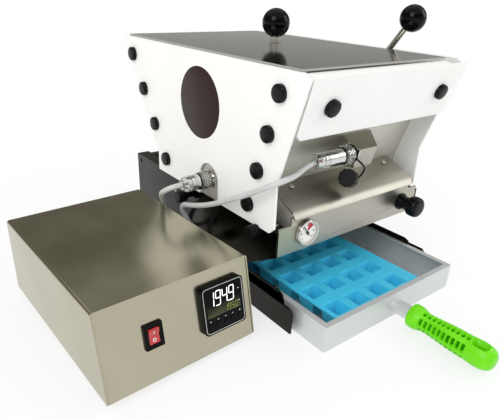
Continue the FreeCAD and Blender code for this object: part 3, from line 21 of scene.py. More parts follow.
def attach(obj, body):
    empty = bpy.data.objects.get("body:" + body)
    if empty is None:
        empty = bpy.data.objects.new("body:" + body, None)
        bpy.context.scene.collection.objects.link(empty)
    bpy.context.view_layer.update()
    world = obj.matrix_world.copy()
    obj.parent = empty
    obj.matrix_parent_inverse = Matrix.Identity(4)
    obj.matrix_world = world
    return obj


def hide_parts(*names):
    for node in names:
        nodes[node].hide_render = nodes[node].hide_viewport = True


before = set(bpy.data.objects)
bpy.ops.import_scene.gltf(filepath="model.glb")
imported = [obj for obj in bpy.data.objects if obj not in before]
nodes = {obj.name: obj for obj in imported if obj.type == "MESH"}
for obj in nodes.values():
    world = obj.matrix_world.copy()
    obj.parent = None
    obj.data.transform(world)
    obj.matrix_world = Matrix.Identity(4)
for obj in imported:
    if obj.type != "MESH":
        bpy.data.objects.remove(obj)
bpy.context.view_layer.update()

MM = 0.001
print("solids:", len(nodes))

# %% [markdown]
# ## Small tools
#
# Colours are written as the hex values an artist would pick on screen. Blender
# mixes light, not screen values, so one function turns hex into linear colour.
# A second function adds a shader node with its settings and its links, which
# keeps each material short enough to read as a recipe.


# %% Colour and node helpers
def linear(code):
    """A screen colour such as #2FA9D6 as linear red, green, blue and alpha."""
    channels = []
    for start in (1, 3, 5):
        value = int(code[start:start + 2], 16) / 255
        channels.append(value / 12.92 if value <= 0.04045 else ((value + 0.055) / 1.055) ** 2.4)
    return (*channels, 1.0)


def wire(tree, node, inputs):
    """Fill a node's inputs: by a value, by a socket, or by a node's first output."""
    for name, value in inputs.items():
        if isinstance(value, bpy.types.Node):
            value = value.outputs[0]
        if isinstance(value, bpy.types.NodeSocket):
            tree.links.new(value, node.inputs[name])
        else:
            node.inputs[name].default_value = value


def add(tree, kind, inputs=None, **settings):
    """Add one node with its settings, then fill its inputs."""
    node = tree.nodes.new(kind)
    for name, value in settings.items():
        setattr(node, name, value)
    wire(tree, node, inputs or {})
    return node


def blank(name):
    """An empty material: its tree, its shader and its Object coordinates."""
    material = bpy.data.materials.new(name)
    material.use_nodes = True
    tree = material.node_tree
    tree.nodes.clear()
    shader = add(tree, "ShaderNodeBsdfPrincipled")
    add(tree, "ShaderNodeOutputMaterial", {"Surface": shader})
    place = add(tree, "ShaderNodeTexCoord").outputs["Object"]
    return material, tree, shader, place


def every(size_mm):
    """The scale that makes a pattern's features about so many millimetres across."""
    return 1 / (size_mm * MM)


# %% [markdown]
# ## Plastics
#
# The white panels and the front guard are polyethylene board, sawn and planed.
# It is never quite white: it is a touch warm, waxy, and holds a faint
# orange-peel from the planer. The caps, knobs and balls are black moulded
# thermoset, the balls polished and the caps left with the mould's fine texture.
#
# Every recipe below reads the same way. A noise gives the cloudy unevenness that
# all real surfaces have, it drives a colour and often the roughness, and a finer
# noise tilts the surface a little.


# %% Plastic materials
def white_polyethylene():
    material, tree, shader, place = blank("white_polyethylene_board")
    clouds = add(tree, "ShaderNodeTexNoise", {"Vector": place, "Scale": every(60), "Detail": 3.0})
    tint = add(tree, "ShaderNodeMixRGB",
               {"Fac": clouds, "Color1": linear("#EFEFEC"), "Color2": linear("#F6F6F4")})
    peel = add(tree, "ShaderNodeTexNoise", {"Vector": place, "Scale": every(1.6)})
    bump = add(tree, "ShaderNodeBump", {"Height": peel, "Distance": 0.02 * MM, "Strength": 0.25})
    wire(tree, shader, {"Base Color": tint, "Roughness": 0.42, "Normal": bump})
    return material


def polished_thermoset():
    """The balls: black all through and polished like a snooker ball."""
    material, tree, shader, place = blank("black_thermoset_polished")
    clouds = add(tree, "ShaderNodeTexNoise", {"Vector": place, "Scale": every(12), "Detail": 3.0})
    tint = add(tree, "ShaderNodeMixRGB",
               {"Fac": clouds, "Color1": linear("#030304"), "Color2": linear("#08080A")})
    polish = add(tree, "ShaderNodeMapRange", {"Value": clouds, "To Min": 0.05, "To Max": 0.1})
    wire(tree, shader, {"Base Color": tint, "Roughness": polish, "Specular IOR Level": 0.14})
    return material


def moulded_thermoset():
    """Caps and knobs: black, with the fine texture of the mould."""
    material, tree, shader, place = blank("black_thermoset_moulded")
    clouds = add(tree, "ShaderNodeTexNoise", {"Vector": place, "Scale": every(4), "Detail": 3.0})
    tint = add(tree, "ShaderNodeMixRGB",
               {"Fac": clouds, "Color1": linear("#050505"), "Color2": linear("#0E0E0F")})
    sheen = add(tree, "ShaderNodeMapRange", {"Value": clouds, "To Min": 0.2, "To Max": 0.34})
    texture = add(tree, "ShaderNodeTexNoise", {"Vector": place, "Scale": every(0.6)})
    bump = add(tree, "ShaderNodeBump", {"Height": texture, "Distance": 0.02 * MM, "Strength": 0.3})
    wire(tree, shader, {"Base Color": tint, "Roughness": sheen, "Normal": bump,
                        "Specular IOR Level": 0.18})
    return material


def controller_plastic():
    """The controller's case, the keys and the switch frame: glossy black."""
    material, tree, shader, place = blank("black_abs_moulded")
    clouds = add(tree, "ShaderNodeTexNoise", {"Vector": place, "Scale": every(9), "Detail": 3.0})
    tint = add(tree, "ShaderNodeMixRGB",
               {"Fac": clouds, "Color1": linear("#040405"), "Color2": linear("#0A0B0C")})
    texture = add(tree, "ShaderNodeTexNoise", {"Vector": place, "Scale": every(0.5)})
    bump = add(tree, "ShaderNodeBump", {"Height": texture, "Distance": 0.01 * MM, "Strength": 0.3})
    wire(tree, shader, {"Base Color": tint, "Roughness": 0.16, "Normal": bump,
                        "Specular IOR Level": 0.1})
    return material


def display_window():
    """The tinted window. Its lower half is painted lighter, a painted glow for the light of the green digits
    behind it.
    """
    material, tree, shader, place = blank("tinted_window_with_painted_glow")
    high = add(tree, "ShaderNodeSeparateXYZ", {"Vector": place}).outputs["Z"]
    painted_glow_fall = add(tree, "ShaderNodeMapRange", {"Value": high, "From Min": 60 * MM, "From Max": 46 * MM})
    clouds = add(tree, "ShaderNodeTexNoise", {"Vector": place, "Scale": every(14), "Detail": 1.0})
    mask = add(tree, "ShaderNodeMath", {0: painted_glow_fall, 1: clouds}, operation="MULTIPLY")
    # The lighter olive colour is the painted glow.
    tint = add(tree, "ShaderNodeMixRGB",
               {"Fac": mask, "Color1": linear("#040505"), "Color2": linear("#62644A")})
    wire(tree, shader, {"Base Color": tint, "Roughness": 0.06, "Specular IOR Level": 0.08})
    return material


def rocker_red():
    material, tree, shader, place = blank("red_polycarbonate")
    clouds = add(tree, "ShaderNodeTexNoise", {"Vector": place, "Scale": every(6), "Detail": 3.0})
    tint = add(tree, "ShaderNodeMixRGB",
               {"Fac": clouds, "Color1": linear("#A3141A"), "Color2": linear("#C4262A")})
    wire(tree, shader, {"Base Color": tint, "Roughness": 0.16, "IOR": 1.58, "Coat Weight": 0.4})
    return material


# %% [markdown]
# ## Rubber and silicone
#
# Silicone and soft rubber let light in a little way, so a thin rim glows. A
# small subsurface weight gives that without turning the piece to wax. The
# mould is sky blue and slightly dusty, the grip is bright green, the dust cap
# and the feet are plain black rubber, and the cables have a grey vinyl jacket.


# %% Rubber materials
def blue_silicone():
    material, tree, shader, place = blank("blue_silicone")
    clouds = add(tree, "ShaderNodeTexNoise", {"Vector": place, "Scale": every(30), "Detail": 3.0})
    tint = add(tree, "ShaderNodeMixRGB",
               {"Fac": clouds, "Color1": linear("#38BAE0"), "Color2": linear("#4CC8EA")})
    dust = add(tree, "ShaderNodeMapRange", {"Value": clouds, "To Min": 0.36, "To Max": 0.5})
    skin = add(tree, "ShaderNodeTexNoise", {"Vector": place, "Scale": every(0.9)})
    bump = add(tree, "ShaderNodeBump", {"Height": skin, "Distance": 0.02 * MM, "Strength": 0.2})
    wire(tree, shader, {"Base Color": tint, "Roughness": dust, "Normal": bump, "IOR": 1.41,
                        "Subsurface Weight": 0.12, "Subsurface Scale": 2 * MM})
    return material


def green_elastomer():
    material, tree, shader, place = blank("green_thermoplastic_rubber")
    clouds = add(tree, "ShaderNodeTexNoise", {"Vector": place, "Scale": every(14), "Detail": 3.0})
    tint = add(tree, "ShaderNodeMixRGB",
               {"Fac": clouds, "Color1": linear("#66D200"), "Color2": linear("#78E404")})
    skin = add(tree, "ShaderNodeTexNoise", {"Vector": place, "Scale": every(0.7)})
    bump = add(tree, "ShaderNodeBump", {"Height": skin, "Distance": 0.03 * MM, "Strength": 0.25})
    wire(tree, shader, {"Base Color": tint, "Roughness": 0.34, "Normal": bump,
                        "Specular IOR Level": 0.35, "Subsurface Weight": 0.05,
                        "Subsurface Scale": MM})
    return material


def painted_cell_shade():
    """Painted shade for the floor of the grip's cells: a darker, duller green where the rubber sees little
    light.
    """
    material, tree, shader, place = blank("green_rubber_painted_cell_shade")
    clouds = add(tree, "ShaderNodeTexNoise", {"Vector": place, "Scale": every(4), "Detail": 3.0})
    tint = add(tree, "ShaderNodeMixRGB",
               {"Fac": clouds, "Color1": linear("#1F8A00"), "Color2": linear("#38A800")})
    wire(tree, shader, {"Base Color": tint, "Roughness": 0.6, "Specular IOR Level": 0.1})
    return material


def black_rubber():
    material, tree, shader, place = blank("black_rubber")
    clouds = add(tree, "ShaderNodeTexNoise", {"Vector": place, "Scale": every(3), "Detail": 3.0})
    tint = add(tree, "ShaderNodeMixRGB",
               {"Fac": clouds, "Color1": linear("#0E0F10"), "Color2": linear("#191A1B")})
    skin = add(tree, "ShaderNodeTexNoise", {"Vector": place, "Scale": every(0.5)})
    bump = add(tree, "ShaderNodeBump", {"Height": skin, "Distance": 0.03 * MM, "Strength": 0.4})
    wire(tree, shader, {"Base Color": tint, "Roughness": 0.42, "Normal": bump,
                        "Specular IOR Level": 0.16})
    return material


def grey_vinyl():
    material, tree, shader, place = blank("grey_vinyl_jacket")
    clouds = add(tree, "ShaderNodeTexNoise", {"Vector": place, "Scale": every(18), "Detail": 3.0})
    tint = add(tree, "ShaderNodeMixRGB",
               {"Fac": clouds, "Color1": linear("#BEBFBF"), "Color2": linear("#CFD0D0")})
    skin = add(tree, "ShaderNodeTexNoise", {"Vector": place, "Scale": every(1.2)})
    bump = add(tree, "ShaderNodeBump", {"Height": skin, "Distance": 0.03 * MM, "Strength": 0.25})
    wire(tree, shader, {"Base Color": tint, "Roughness": 0.42, "Normal": bump, "IOR": 1.53})
    return material


def heater_silicone():
    """The heater mats inside: orange silicone with a cloth weave pressed in."""
    material, tree, shader, place = blank("orange_silicone_mat")
    weave = add(tree, "ShaderNodeTexWave", {"Vector": place, "Scale": every(2.4) / math.tau})
    tint = add(tree, "ShaderNodeMixRGB",
               {"Fac": weave.outputs["Fac"], "Color1": linear("#9A3410"), "Color2": linear("#B8481C")})
    bump = add(tree, "ShaderNodeBump", {"Height": weave.outputs["Fac"], "Distance": 0.1 * MM})
    wire(tree, shader, {"Base Color": tint, "Roughness": 0.6, "Normal": bump, "IOR": 1.41})
    return material


# %% [markdown]
# ## Metals
#
# Everything steel here is stainless 304. Sheet comes from the mill with a
# brushed or mirror face, and what tells them apart is roughness and the run of
# the brush lines. One recipe takes those two and a tint. Real brush lines are
# hundredths of a millimetre wide; they are drawn ten times coarser to show.
# A sheet is never flat either, and a slow swell bends what it mirrors.


# %% Metal materials
def stainless(name, tones, roughness, brush, brush_mm, swell_mm=0.0):
    """Stainless sheet with brush lines along the axis where brush is small."""
    material, tree, shader, place = blank(name)
    smudges = add(tree, "ShaderNodeTexNoise", {"Vector": place, "Scale": every(70), "Detail": 2.0})
    tint = add(tree, "ShaderNodeMixRGB",
               {"Fac": smudges, "Color1": linear(tones[0]), "Color2": linear(tones[1])})
    drawn = add(tree, "ShaderNodeMapping", {"Vector": place, "Scale": brush})
    lines = add(tree, "ShaderNodeTexNoise", {"Vector": drawn, "Scale": every(0.6), "Detail": 4.0})
    mask = add(tree, "ShaderNodeMath", {0: lines, 1: smudges}, operation="ADD")
    dull = add(tree, "ShaderNodeMapRange", {"Value": mask, "From Min": 0.6, "From Max": 1.4,
                                            "To Min": roughness[0], "To Max": roughness[1]})
    waves = add(tree, "ShaderNodeTexNoise", {"Vector": place, "Scale": every(90), "Detail": 0.0})
    swell = add(tree, "ShaderNodeBump", {"Height": waves, "Distance": swell_mm * MM})
    bump = add(tree, "ShaderNodeBump", {"Height": lines, "Distance": brush_mm * MM,
                                        "Strength": 0.2, "Normal": swell})
    wire(tree, shader, {"Base Color": tint, "Metallic": 1.0, "Roughness": dull, "Normal": bump})
    return material


ALONG_X = (0.02, 1, 1)
ALONG_Y = (1, 0.02, 1)


def steel_painted_dark():
    """The chassis: bright-annealed sheet; its near-black tint is painted reflection, the dark side of the
    room.
    """
    return stainless("stainless_chassis_painted_dark", ("#22211E", "#302F2B"), (0.08, 0.2), ALONG_Y, 0.002, 2.0)


def bright_steel():
    """Turned and polished rods."""
    return stainless("stainless_bright", ("#C4C1B8", "#D2D0C8"), (0.1, 0.24), ALONG_Y, 0.002)


def satin_steel():
    """Hood, front plate and connector box, brushed from side to side."""
    return stainless("stainless_brushed", ("#AEABA0", "#BDBAB0"), (0.32, 0.42), ALONG_X, 0.0015, 1.0)


def pale_steel():
    """The jacket: glass-bead blasted, so its shine is broad and pale."""
    return stainless("stainless_blasted", ("#D3D1C8", "#DEDCD4"), (0.5, 0.62), ALONG_X, 0.002)


def box_steel():
    """The control box, brushed from front to back."""
    return stainless("stainless_satin_box", ("#A9A48F", "#BCB7A2"), (0.16, 0.28), ALONG_Y, 0.003, 3.0)


def lid_steel():
    return stainless("stainless_lid", ("#A5A49F", "#B2B1AC"), (0.07, 0.14), ALONG_X, 0.002)


def plated_nickel():
    """Connectors, screws and the dial's rim: nickel over brass."""
    material, tree, shader, place = blank("nickel_plated_brass")
    clouds = add(tree, "ShaderNodeTexNoise", {"Vector": place, "Scale": every(5), "Detail": 3.0})
    tint = add(tree, "ShaderNodeMixRGB",
               {"Fac": clouds, "Color1": linear("#C9C9C7"), "Color2": linear("#E6E6E4")})
    dull = add(tree, "ShaderNodeMapRange", {"Value": clouds, "To Min": 0.12, "To Max": 0.26})
    wire(tree, shader, {"Base Color": tint, "Metallic": 1.0, "Roughness": dull})
    return material


def knurl_shade_nickel():
    """Under the knurl of the connector rings the nickel is duller, and darker as painted shade for the
    grooves between the bars.
    """
    material, tree, shader, place = blank("nickel_painted_knurl_shade")
    clouds = add(tree, "ShaderNodeTexNoise", {"Vector": place, "Scale": every(2), "Detail": 3.0})
    tint = add(tree, "ShaderNodeMixRGB",
               {"Fac": clouds, "Color1": linear("#777773"), "Color2": linear("#8D8D88")})
    wire(tree, shader, {"Base Color": tint, "Metallic": 1.0, "Roughness": 0.4})
    return material


def tray_aluminium():
    """Mill-finish sheet, paler and softer in its shine than the steel."""
    material, tree, shader, place = blank("aluminium_sheet")
    smudges = add(tree, "ShaderNodeTexNoise", {"Vector": place, "Scale": every(45), "Detail": 2.0})
    tint = add(tree, "ShaderNodeMixRGB",
               {"Fac": smudges, "Color1": linear("#CFD3D4"), "Color2": linear("#DADDDE")})
    dull = add(tree, "ShaderNodeMapRange", {"Value": smudges, "To Min": 0.32, "To Max": 0.48})
    drawn = add(tree, "ShaderNodeMapping", {"Vector": place, "Scale": ALONG_X})
    lines = add(tree, "ShaderNodeTexNoise", {"Vector": drawn, "Scale": every(0.8), "Detail": 4.0})
    bump = add(tree, "ShaderNodeBump", {"Height": lines, "Distance": 0.006 * MM, "Strength": 0.3})
    wire(tree, shader, {"Base Color": tint, "Metallic": 0.55, "Roughness": dull, "Normal": bump})
    return material


def machined_aluminium():
    """The pump block and pistons, with fine mill marks."""
    material, tree, shader, place = blank("aluminium_milled")
    drawn = add(tree, "ShaderNodeMapping", {"Vector": place, "Scale": ALONG_X})
    marks = add(tree, "ShaderNodeTexNoise", {"Vector": drawn, "Scale": every(1.2), "Detail": 3.0})
    tint = add(tree, "ShaderNodeMixRGB",
               {"Fac": marks, "Color1": linear("#C9C6BD"), "Color2": linear("#D6D4CC")})
    dull = add(tree, "ShaderNodeMapRange", {"Value": marks, "To Min": 0.4, "To Max": 0.55})
    wire(tree, shader, {"Base Color": tint, "Metallic": 0.7, "Roughness": dull})
    return material


def turned_bronze():
    material, tree, shader, place = blank("bronze_bush")
    clouds = add(tree, "ShaderNodeTexNoise", {"Vector": place, "Scale": every(2), "Detail": 3.0})
    tint = add(tree, "ShaderNodeMixRGB",
               {"Fac": clouds, "Color1": linear("#B08D4A"), "Color2": linear("#C7A35C")})
    dull = add(tree, "ShaderNodeMapRange", {"Value": clouds, "To Min": 0.22, "To Max": 0.36})
    wire(tree, shader, {"Base Color": tint, "Metallic": 1.0, "Roughness": dull})
    return material


# %% [markdown]
# ## Print, paint and light
#
# The dial is white card behind glass, and the needle is painted steel. The
# disc on the left panel is dark brown vinyl, left bare here. The
# controller's digits shine by themselves, so they get an emission colour. Ink
# has one even colour; only its shine varies, with the paper or film under it.


# %% Print and light materials
def printed(name, code, roughness=0.45):
    material, tree, shader, place = blank(name)
    clouds = add(tree, "ShaderNodeTexNoise", {"Vector": place, "Scale": every(3), "Detail": 3.0})
    dull = add(tree, "ShaderNodeMapRange", {"Value": clouds, "To Min": roughness - 0.05,
                                            "To Max": roughness + 0.06})
    wire(tree, shader, {"Base Color": linear(code), "Roughness": dull})
    return material


def brown_vinyl():
    material, tree, shader, place = blank("brown_vinyl_film")
    clouds = add(tree, "ShaderNodeTexNoise", {"Vector": place, "Scale": every(25), "Detail": 3.0})
    tint = add(tree, "ShaderNodeMixRGB",
               {"Fac": clouds, "Color1": linear("#251511"), "Color2": linear("#301D17")})
    grain = add(tree, "ShaderNodeTexNoise", {"Vector": place, "Scale": every(1.4)})
    bump = add(tree, "ShaderNodeBump", {"Height": grain, "Distance": 0.02 * MM, "Strength": 0.25})
    wire(tree, shader, {"Base Color": tint, "Roughness": 0.4, "Normal": bump,
                        "Specular IOR Level": 0.2})
    return material


def glowing(name, code, strength):
    material, tree, shader, place = blank(name)
    clouds = add(tree, "ShaderNodeTexNoise", {"Vector": place, "Scale": every(2)})
    dull = add(tree, "ShaderNodeMapRange", {"Value": clouds, "To Min": 0.35, "To Max": 0.45})
    wire(tree, shader, {"Base Color": linear(code), "Roughness": dull,
                        "Emission Color": linear(code), "Emission Strength": strength})
    return material


# %% [markdown]
# ## Paint the solids
#
# Each finish goes onto the solids that are made of it. The list is worth
# reading as a bill of materials.

# %% Give every solid its finish
BLACK_BALL = polished_thermoset()
BLACK_CAP = moulded_thermoset()
WHITE = white_polyethylene()
STEEL_PAINTED_DARK = steel_painted_dark()
BRIGHT = bright_steel()
SATIN = satin_steel()
NICKEL = plated_nickel()
BLACK_ABS = controller_plastic()
RUBBER = black_rubber()
GREEN = green_elastomer()
VINYL = grey_vinyl()
ALUMINIUM = tray_aluminium()

FINISHES = [
    (WHITE, ["side_panel_left", "side_panel_right", "front_guard"]),
    (BLACK_CAP, ["screw_caps", "front_knob", "thumb_knob_front", "thumb_knob_back"]),
    (BLACK_BALL, ["lid_knob", "lever_ball"]),
    # The chassis and guides carry a painted dark reflection in their tint.
    (STEEL_PAINTED_DARK, ["chassis_left", "chassis_right", "chassis_back", "guide_left", "guide_right"]),
    (BRIGHT, ["hopper_tank", "lid_ferrule", "cross_shaft", "lever_rod"]),
    (pale_steel(), ["hopper_jacket"]),
    (SATIN, ["hood", "front_plate", "connector_box"]),
    (box_steel(), ["control_base", "control_cover"]),
    (lid_steel(), ["lid"]),
    (NICKEL, ["thermometer_case", "front_socket", "front_plug", "side_socket", "side_plug"]),
    (machined_aluminium(), ["pump_block", "nozzle_plate", "piston_bar", "pistons"]),
    # The rings under the knurl bars are darkened as painted shade.
    (knurl_shade_nickel(), ["front_ring", "side_ring"]),
    (turned_bronze(), ["shaft_bushes"]),
    (heater_silicone(), ["heater_pads"]),
    (printed("white_dial_card", "#F2F1EC"), ["thermometer_dial"]),
    (printed("black_needle_paint", "#151515", 0.35), ["thermometer_needle"]),
    (RUBBER, ["dust_cap", "control_feet"]),
    (VINYL, ["cable_side", "cable_front"]),
    (ALUMINIUM, ["tray", "tray_tube"]),
    (blue_silicone(), ["mould"]),
    (GREEN, ["tray_grip"]),
    (rocker_red(), ["switch_rocker"]),
    (display_window(), ["pid_screen"]),
    (BLACK_ABS, ["pid_case", "switch_frame", "power_inlet", "cable_glands"]
     + [f"pid_key_{number}" for number in range(1, 6)]),
]
for material, names in FINISHES:
    for name in names:
        solid = nodes[name]
        if not solid.material_slots:
            solid.data.materials.append(material)
        for slot in solid.material_slots:
            slot.material = material
print("finishes:", len(FINISHES))

# %% [markdown]
# ## Softer edges
#
# No real sheet, board or moulding ends in a knife edge. A bevel of a few
# tenths of a millimetre catches a thin line of light, and that line is most
# of what makes an edge look real. The solids arrive as loose triangles, so a
# weld comes first and the bevel follows; both are modifiers and leave the
# solid itself as it is.


# %% Bevel the visible edges
SHARP_FROM = math.radians(40)


def soften(names, width_mm, steps=2):
    for name in names:
        weld = nodes[name].modifiers.new("weld", "WELD")
        weld.merge_threshold = 0.01 * MM
        bevel = nodes[name].modifiers.new("bevel", "BEVEL")
        bevel.width = width_mm * MM
        bevel.segments = steps
        bevel.limit_method = "ANGLE"
        bevel.angle_limit = SHARP_FROM
        normals = nodes[name].modifiers.new("normals", "WEIGHTED_NORMAL")
        normals.weight = 100
    print("softened:", ", ".join(names))


soften(["side_panel_left", "side_panel_right"], 0.6)
soften(["front_guard"], 0.5)
soften(["mould"], 0.45)
soften(["control_base", "hood", "front_plate", "connector_box"], 0.25, 1)


# %% [markdown]
# ## Mesh tools
#
# Small pieces are drawn from outlines. `lathe` turns a half outline round an
# axis, as a lathe would. `slab` gives a flat outline a thickness. `fasten`
# hangs the finished mesh on the body that carries it.


# %% Lathe, slab and fasten
def lathe(profile, steps=48):
    """A closed round mesh from (radius, height) points, in millimetres, about Z."""
    work = bmesh.new()
    rings = []
    for radius, height in profile:
        if radius < 1e-6:
            rings.append([work.verts.new((0, 0, height * MM))])
            continue
        angles = (math.tau * step / steps for step in range(steps))
        rings.append([work.verts.new((radius * MM * math.cos(a), radius * MM * math.sin(a), height * MM))
                      for a in angles])
    for low, high in zip(rings, rings[1:]):
        for step in range(steps):
            after = (step + 1) % steps
            if len(low) == 1:
                work.faces.new((low[0], high[after], high[step]))
            elif len(high) == 1:
                work.faces.new((low[step], low[after], high[0]))
            else:
                work.faces.new((low[step], low[after], high[after], high[step]))
    bmesh.ops.recalc_face_normals(work, faces=work.faces)
    return work


def slab(outline, low_mm, high_mm):
    """A flat outline in millimetres between two heights."""
    work = bmesh.new()
    floor = [work.verts.new((x * MM, y * MM, low_mm * MM)) for x, y in outline]
    roof = [work.verts.new((x * MM, y * MM, high_mm * MM)) for x, y in outline]
    work.faces.new(list(reversed(floor)))
    work.faces.new(roof)
    for index in range(len(outline)):
        after = (index + 1) % len(outline)
        work.faces.new((floor[index], floor[after], roof[after], roof[index]))
    bmesh.ops.recalc_face_normals(work, faces=work.faces)
    return work


def fasten(name, work, material, body, place=None, sharp=35):
    """Turn a working mesh into a piece that rides on a body."""
    mesh = bpy.data.meshes.new(name)
    work.to_mesh(mesh)
    work.free()
    if place is not None:
        mesh.transform(place)
    mesh.materials.append(material)
    mesh.shade_smooth()
    mesh.set_sharp_from_angle(angle=math.radians(sharp))
    piece = bpy.data.objects.new(name, mesh)
    bpy.context.scene.collection.objects.link(piece)
    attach(piece, body)
    print(f"{name}: {len(mesh.polygons)} faces")
    return piece


def merged(works):
    """Several working meshes as one."""
    whole = bmesh.new()
    for work in works:
        part = bpy.data.meshes.new("part")
        work.to_mesh(part)
        work.free()
        whole.from_mesh(part)
        bpy.data.meshes.remove(part)
    return whole


def facing(spot_mm, outward, turn=0.0):
    """A place on a surface: Z points out of it, in metres."""
    look = Vector(outward).to_track_quat("Z", "Y").to_matrix().to_4x4()
    return Matrix.Translation(Vector(spot_mm) * MM) @ look @ Matrix.Rotation(turn, 4, "Z")


# %% [markdown]
# ## Screw caps, with Geometry Nodes
#
# Eighteen moulded caps hide the panel screws. They repeat, so a node tree
# makes them: a mesh with one point per cap carries the direction each faces,
# and the tree sets a cap on every point. The tree ends in Realize Instances
# and Set Material, and the result becomes one plain mesh.


# %% A tree that sets one part on many points
def points_tree():
    tree = bpy.data.node_groups.new("part_on_points", "GeometryNodeTree")
    face = tree.interface
    face.new_socket("Geometry", in_out="INPUT", socket_type="NodeSocketGeometry")
    face.new_socket("Part", in_out="INPUT", socket_type="NodeSocketObject")
    face.new_socket("Material", in_out="INPUT", socket_type="NodeSocketMaterial")
    face.new_socket("Geometry", in_out="OUTPUT", socket_type="NodeSocketGeometry")
    given = add(tree, "NodeGroupInput").outputs
    part = add(tree, "GeometryNodeObjectInfo", {"Object": given["Part"]})
    way = add(tree, "GeometryNodeInputNamedAttribute", {"Name": "outward"}, data_type="FLOAT_VECTOR")
    turn = add(tree, "FunctionNodeAlignRotationToVector", {"Vector": way.outputs["Attribute"]}, axis="Z")
    spread = add(tree, "GeometryNodeInstanceOnPoints",
                 {"Points": given["Geometry"], "Instance": part.outputs["Geometry"],
                  "Rotation": turn.outputs["Rotation"]})
    real = add(tree, "GeometryNodeRealizeInstances", {"Geometry": spread.outputs["Instances"]})
    coat = add(tree, "GeometryNodeSetMaterial",
               {"Geometry": real.outputs["Geometry"], "Material": given["Material"]})
    add(tree, "NodeGroupOutput", {"Geometry": coat.outputs["Geometry"]})
    return tree


def run_tree(name, tree, start_mesh, values, body, place=None):
    """Evaluate a tree once and keep its result as a plain piece."""
    holder = bpy.data.objects.new(f"{name}_holder", start_mesh)
    bpy.context.scene.collection.objects.link(holder)
    modifier = holder.modifiers.new("nodes", "NODES")
    modifier.node_group = tree
    sockets = {item.name: item.identifier for item in tree.interface.items_tree if item.in_out == "INPUT"}
    for label, value in values.items():
        modifier[sockets[label]] = value
    graph = bpy.context.evaluated_depsgraph_get()
    mesh = bpy.data.meshes.new_from_object(holder.evaluated_get(graph))
    bpy.data.objects.remove(holder)
    if place is not None:
        mesh.transform(place)
    mesh.name = name
    mesh.shade_smooth()
    mesh.set_sharp_from_angle(angle=math.radians(35))
    piece = bpy.data.objects.new(name, mesh)
    bpy.context.scene.collection.objects.link(piece)
    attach(piece, body)
    print(f"{name}: {len(mesh.polygons)} faces")
    return piece


POINTS = points_tree()


def scatter(name, part_work, spots, material, body):
    """Set copies of a part on (spot in millimetres, outward direction) pairs."""
    part_mesh = bpy.data.meshes.new(f"{name}_part")
    part_work.to_mesh(part_mesh)
    part_work.free()
    part = bpy.data.objects.new(f"{name}_part", part_mesh)
    bpy.context.scene.collection.objects.link(part)
    base = bpy.data.meshes.new(f"{name}_points")
    base.from_pydata([Vector(spot) * MM for spot, outward in spots], [], [])
    ways = base.attributes.new("outward", "FLOAT_VECTOR", "POINT")
    for index, (spot, outward) in enumerate(spots):
        ways.data[index].vector = Vector(outward).normalized()
    piece = run_tree(name, POINTS, base, {"Part": part, "Material": material}, body)
    bpy.data.objects.remove(part)
    return piece


# %% [markdown]
# The caps themselves: a straight side, a generous round at the rim and a very
# slight crown, which is what gives each its soft highlight.

# %% Make the caps
CAP_RADIUS, CAP_TALL, CAP_ROUND = 8.5, 5.5, 1.6
PANEL_LEFT, PANEL_RIGHT = -122.0, 115.0
GUARD_TOP, GUARD_LOW = (178.0, 262.5), (160.0, 204.5)
GUARD_RUN = (GUARD_TOP[0] - GUARD_LOW[0]) / (GUARD_TOP[1] - GUARD_LOW[1])


def cap_profile():
    rim = []
    for degrees in (0, 30, 60, 90):
        out, rise = math.cos(math.radians(degrees)), math.sin(math.radians(degrees))
        rim.append((CAP_RADIUS - CAP_ROUND * (1 - out), CAP_TALL - 0.5 - CAP_ROUND * (1 - rise)))
    return [(0, 0), (CAP_RADIUS, 0)] + rim + [(3.5, CAP_TALL - 0.1), (0, CAP_TALL)]


def cap_spots():
    spots = []
    for x, side in ((PANEL_LEFT, -1), (PANEL_RIGHT, 1)):
        for step in range(4):
            high = 125.5 + 40 * step
            for deep in (-(102.3 + 13.5 * step), 69.3 + 26.6 * step):
                spots.append(((x, deep, high), (side, 0, 0)))
    deep = -(GUARD_LOW[0] + GUARD_RUN * (234 - GUARD_LOW[1]))
    for side in (-1, 1):
        spots.append(((84 * side, deep, 234), (0, -1, -GUARD_RUN)))
    return spots


caps = scatter("panel_caps", lathe(cap_profile(), 28), cap_spots(), BLACK_CAP, "machine")
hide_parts("screw_caps")

# %% [markdown]
# ## Screws
#
# The sheet metal is held with small pan-head screws, each with a round recess.
# A dozen steps round are enough at this size.

# %% Pan-head screws
SCREW_HEAD = [(0, 0), (2.7, 0), (2.7, 0.5), (2.35, 1.1), (1.7, 1.55), (1.25, 1.65), (1.25, 0.8), (0, 0.8)]
HOOD_OUT = (0, -15.4, 37.2)
SCREWS = [
    ((-74.1, -114.9, 138.4), HOOD_OUT), ((77.9, -114.9, 138.4), HOOD_OUT),
    ((-104, -127.4, 105), (0, 0, 1)), ((104, -127.4, 105), (0, 0, 1)),
    ((-104, 112, 105), (0, 0, 1)), ((104, 112, 105), (0, 0, 1)),
    ((-116, 60, 84.7), (-1, 0, 0)), ((116, 60, 84.7), (1, 0, 0)),
    ((-116, 33, 84.7), (-1, 0, 0)), ((116, 33, 84.7), (1, 0, 0)),
    ((-60, 169 - 2, 92), (0, 1, 0)), ((60, 169 - 2, 92), (0, 1, 0)),
]
screws = scatter("sheet_screws", lathe(SCREW_HEAD, 12), SCREWS, NICKEL, "machine")

# %% [markdown]
# ## Ribs round a ring, with Geometry Nodes
#
# The connector rings are knurled and the dial has marks round its edge. Both
# are the same rule: so many small bars round a circle. One tree with named
# inputs makes them all.


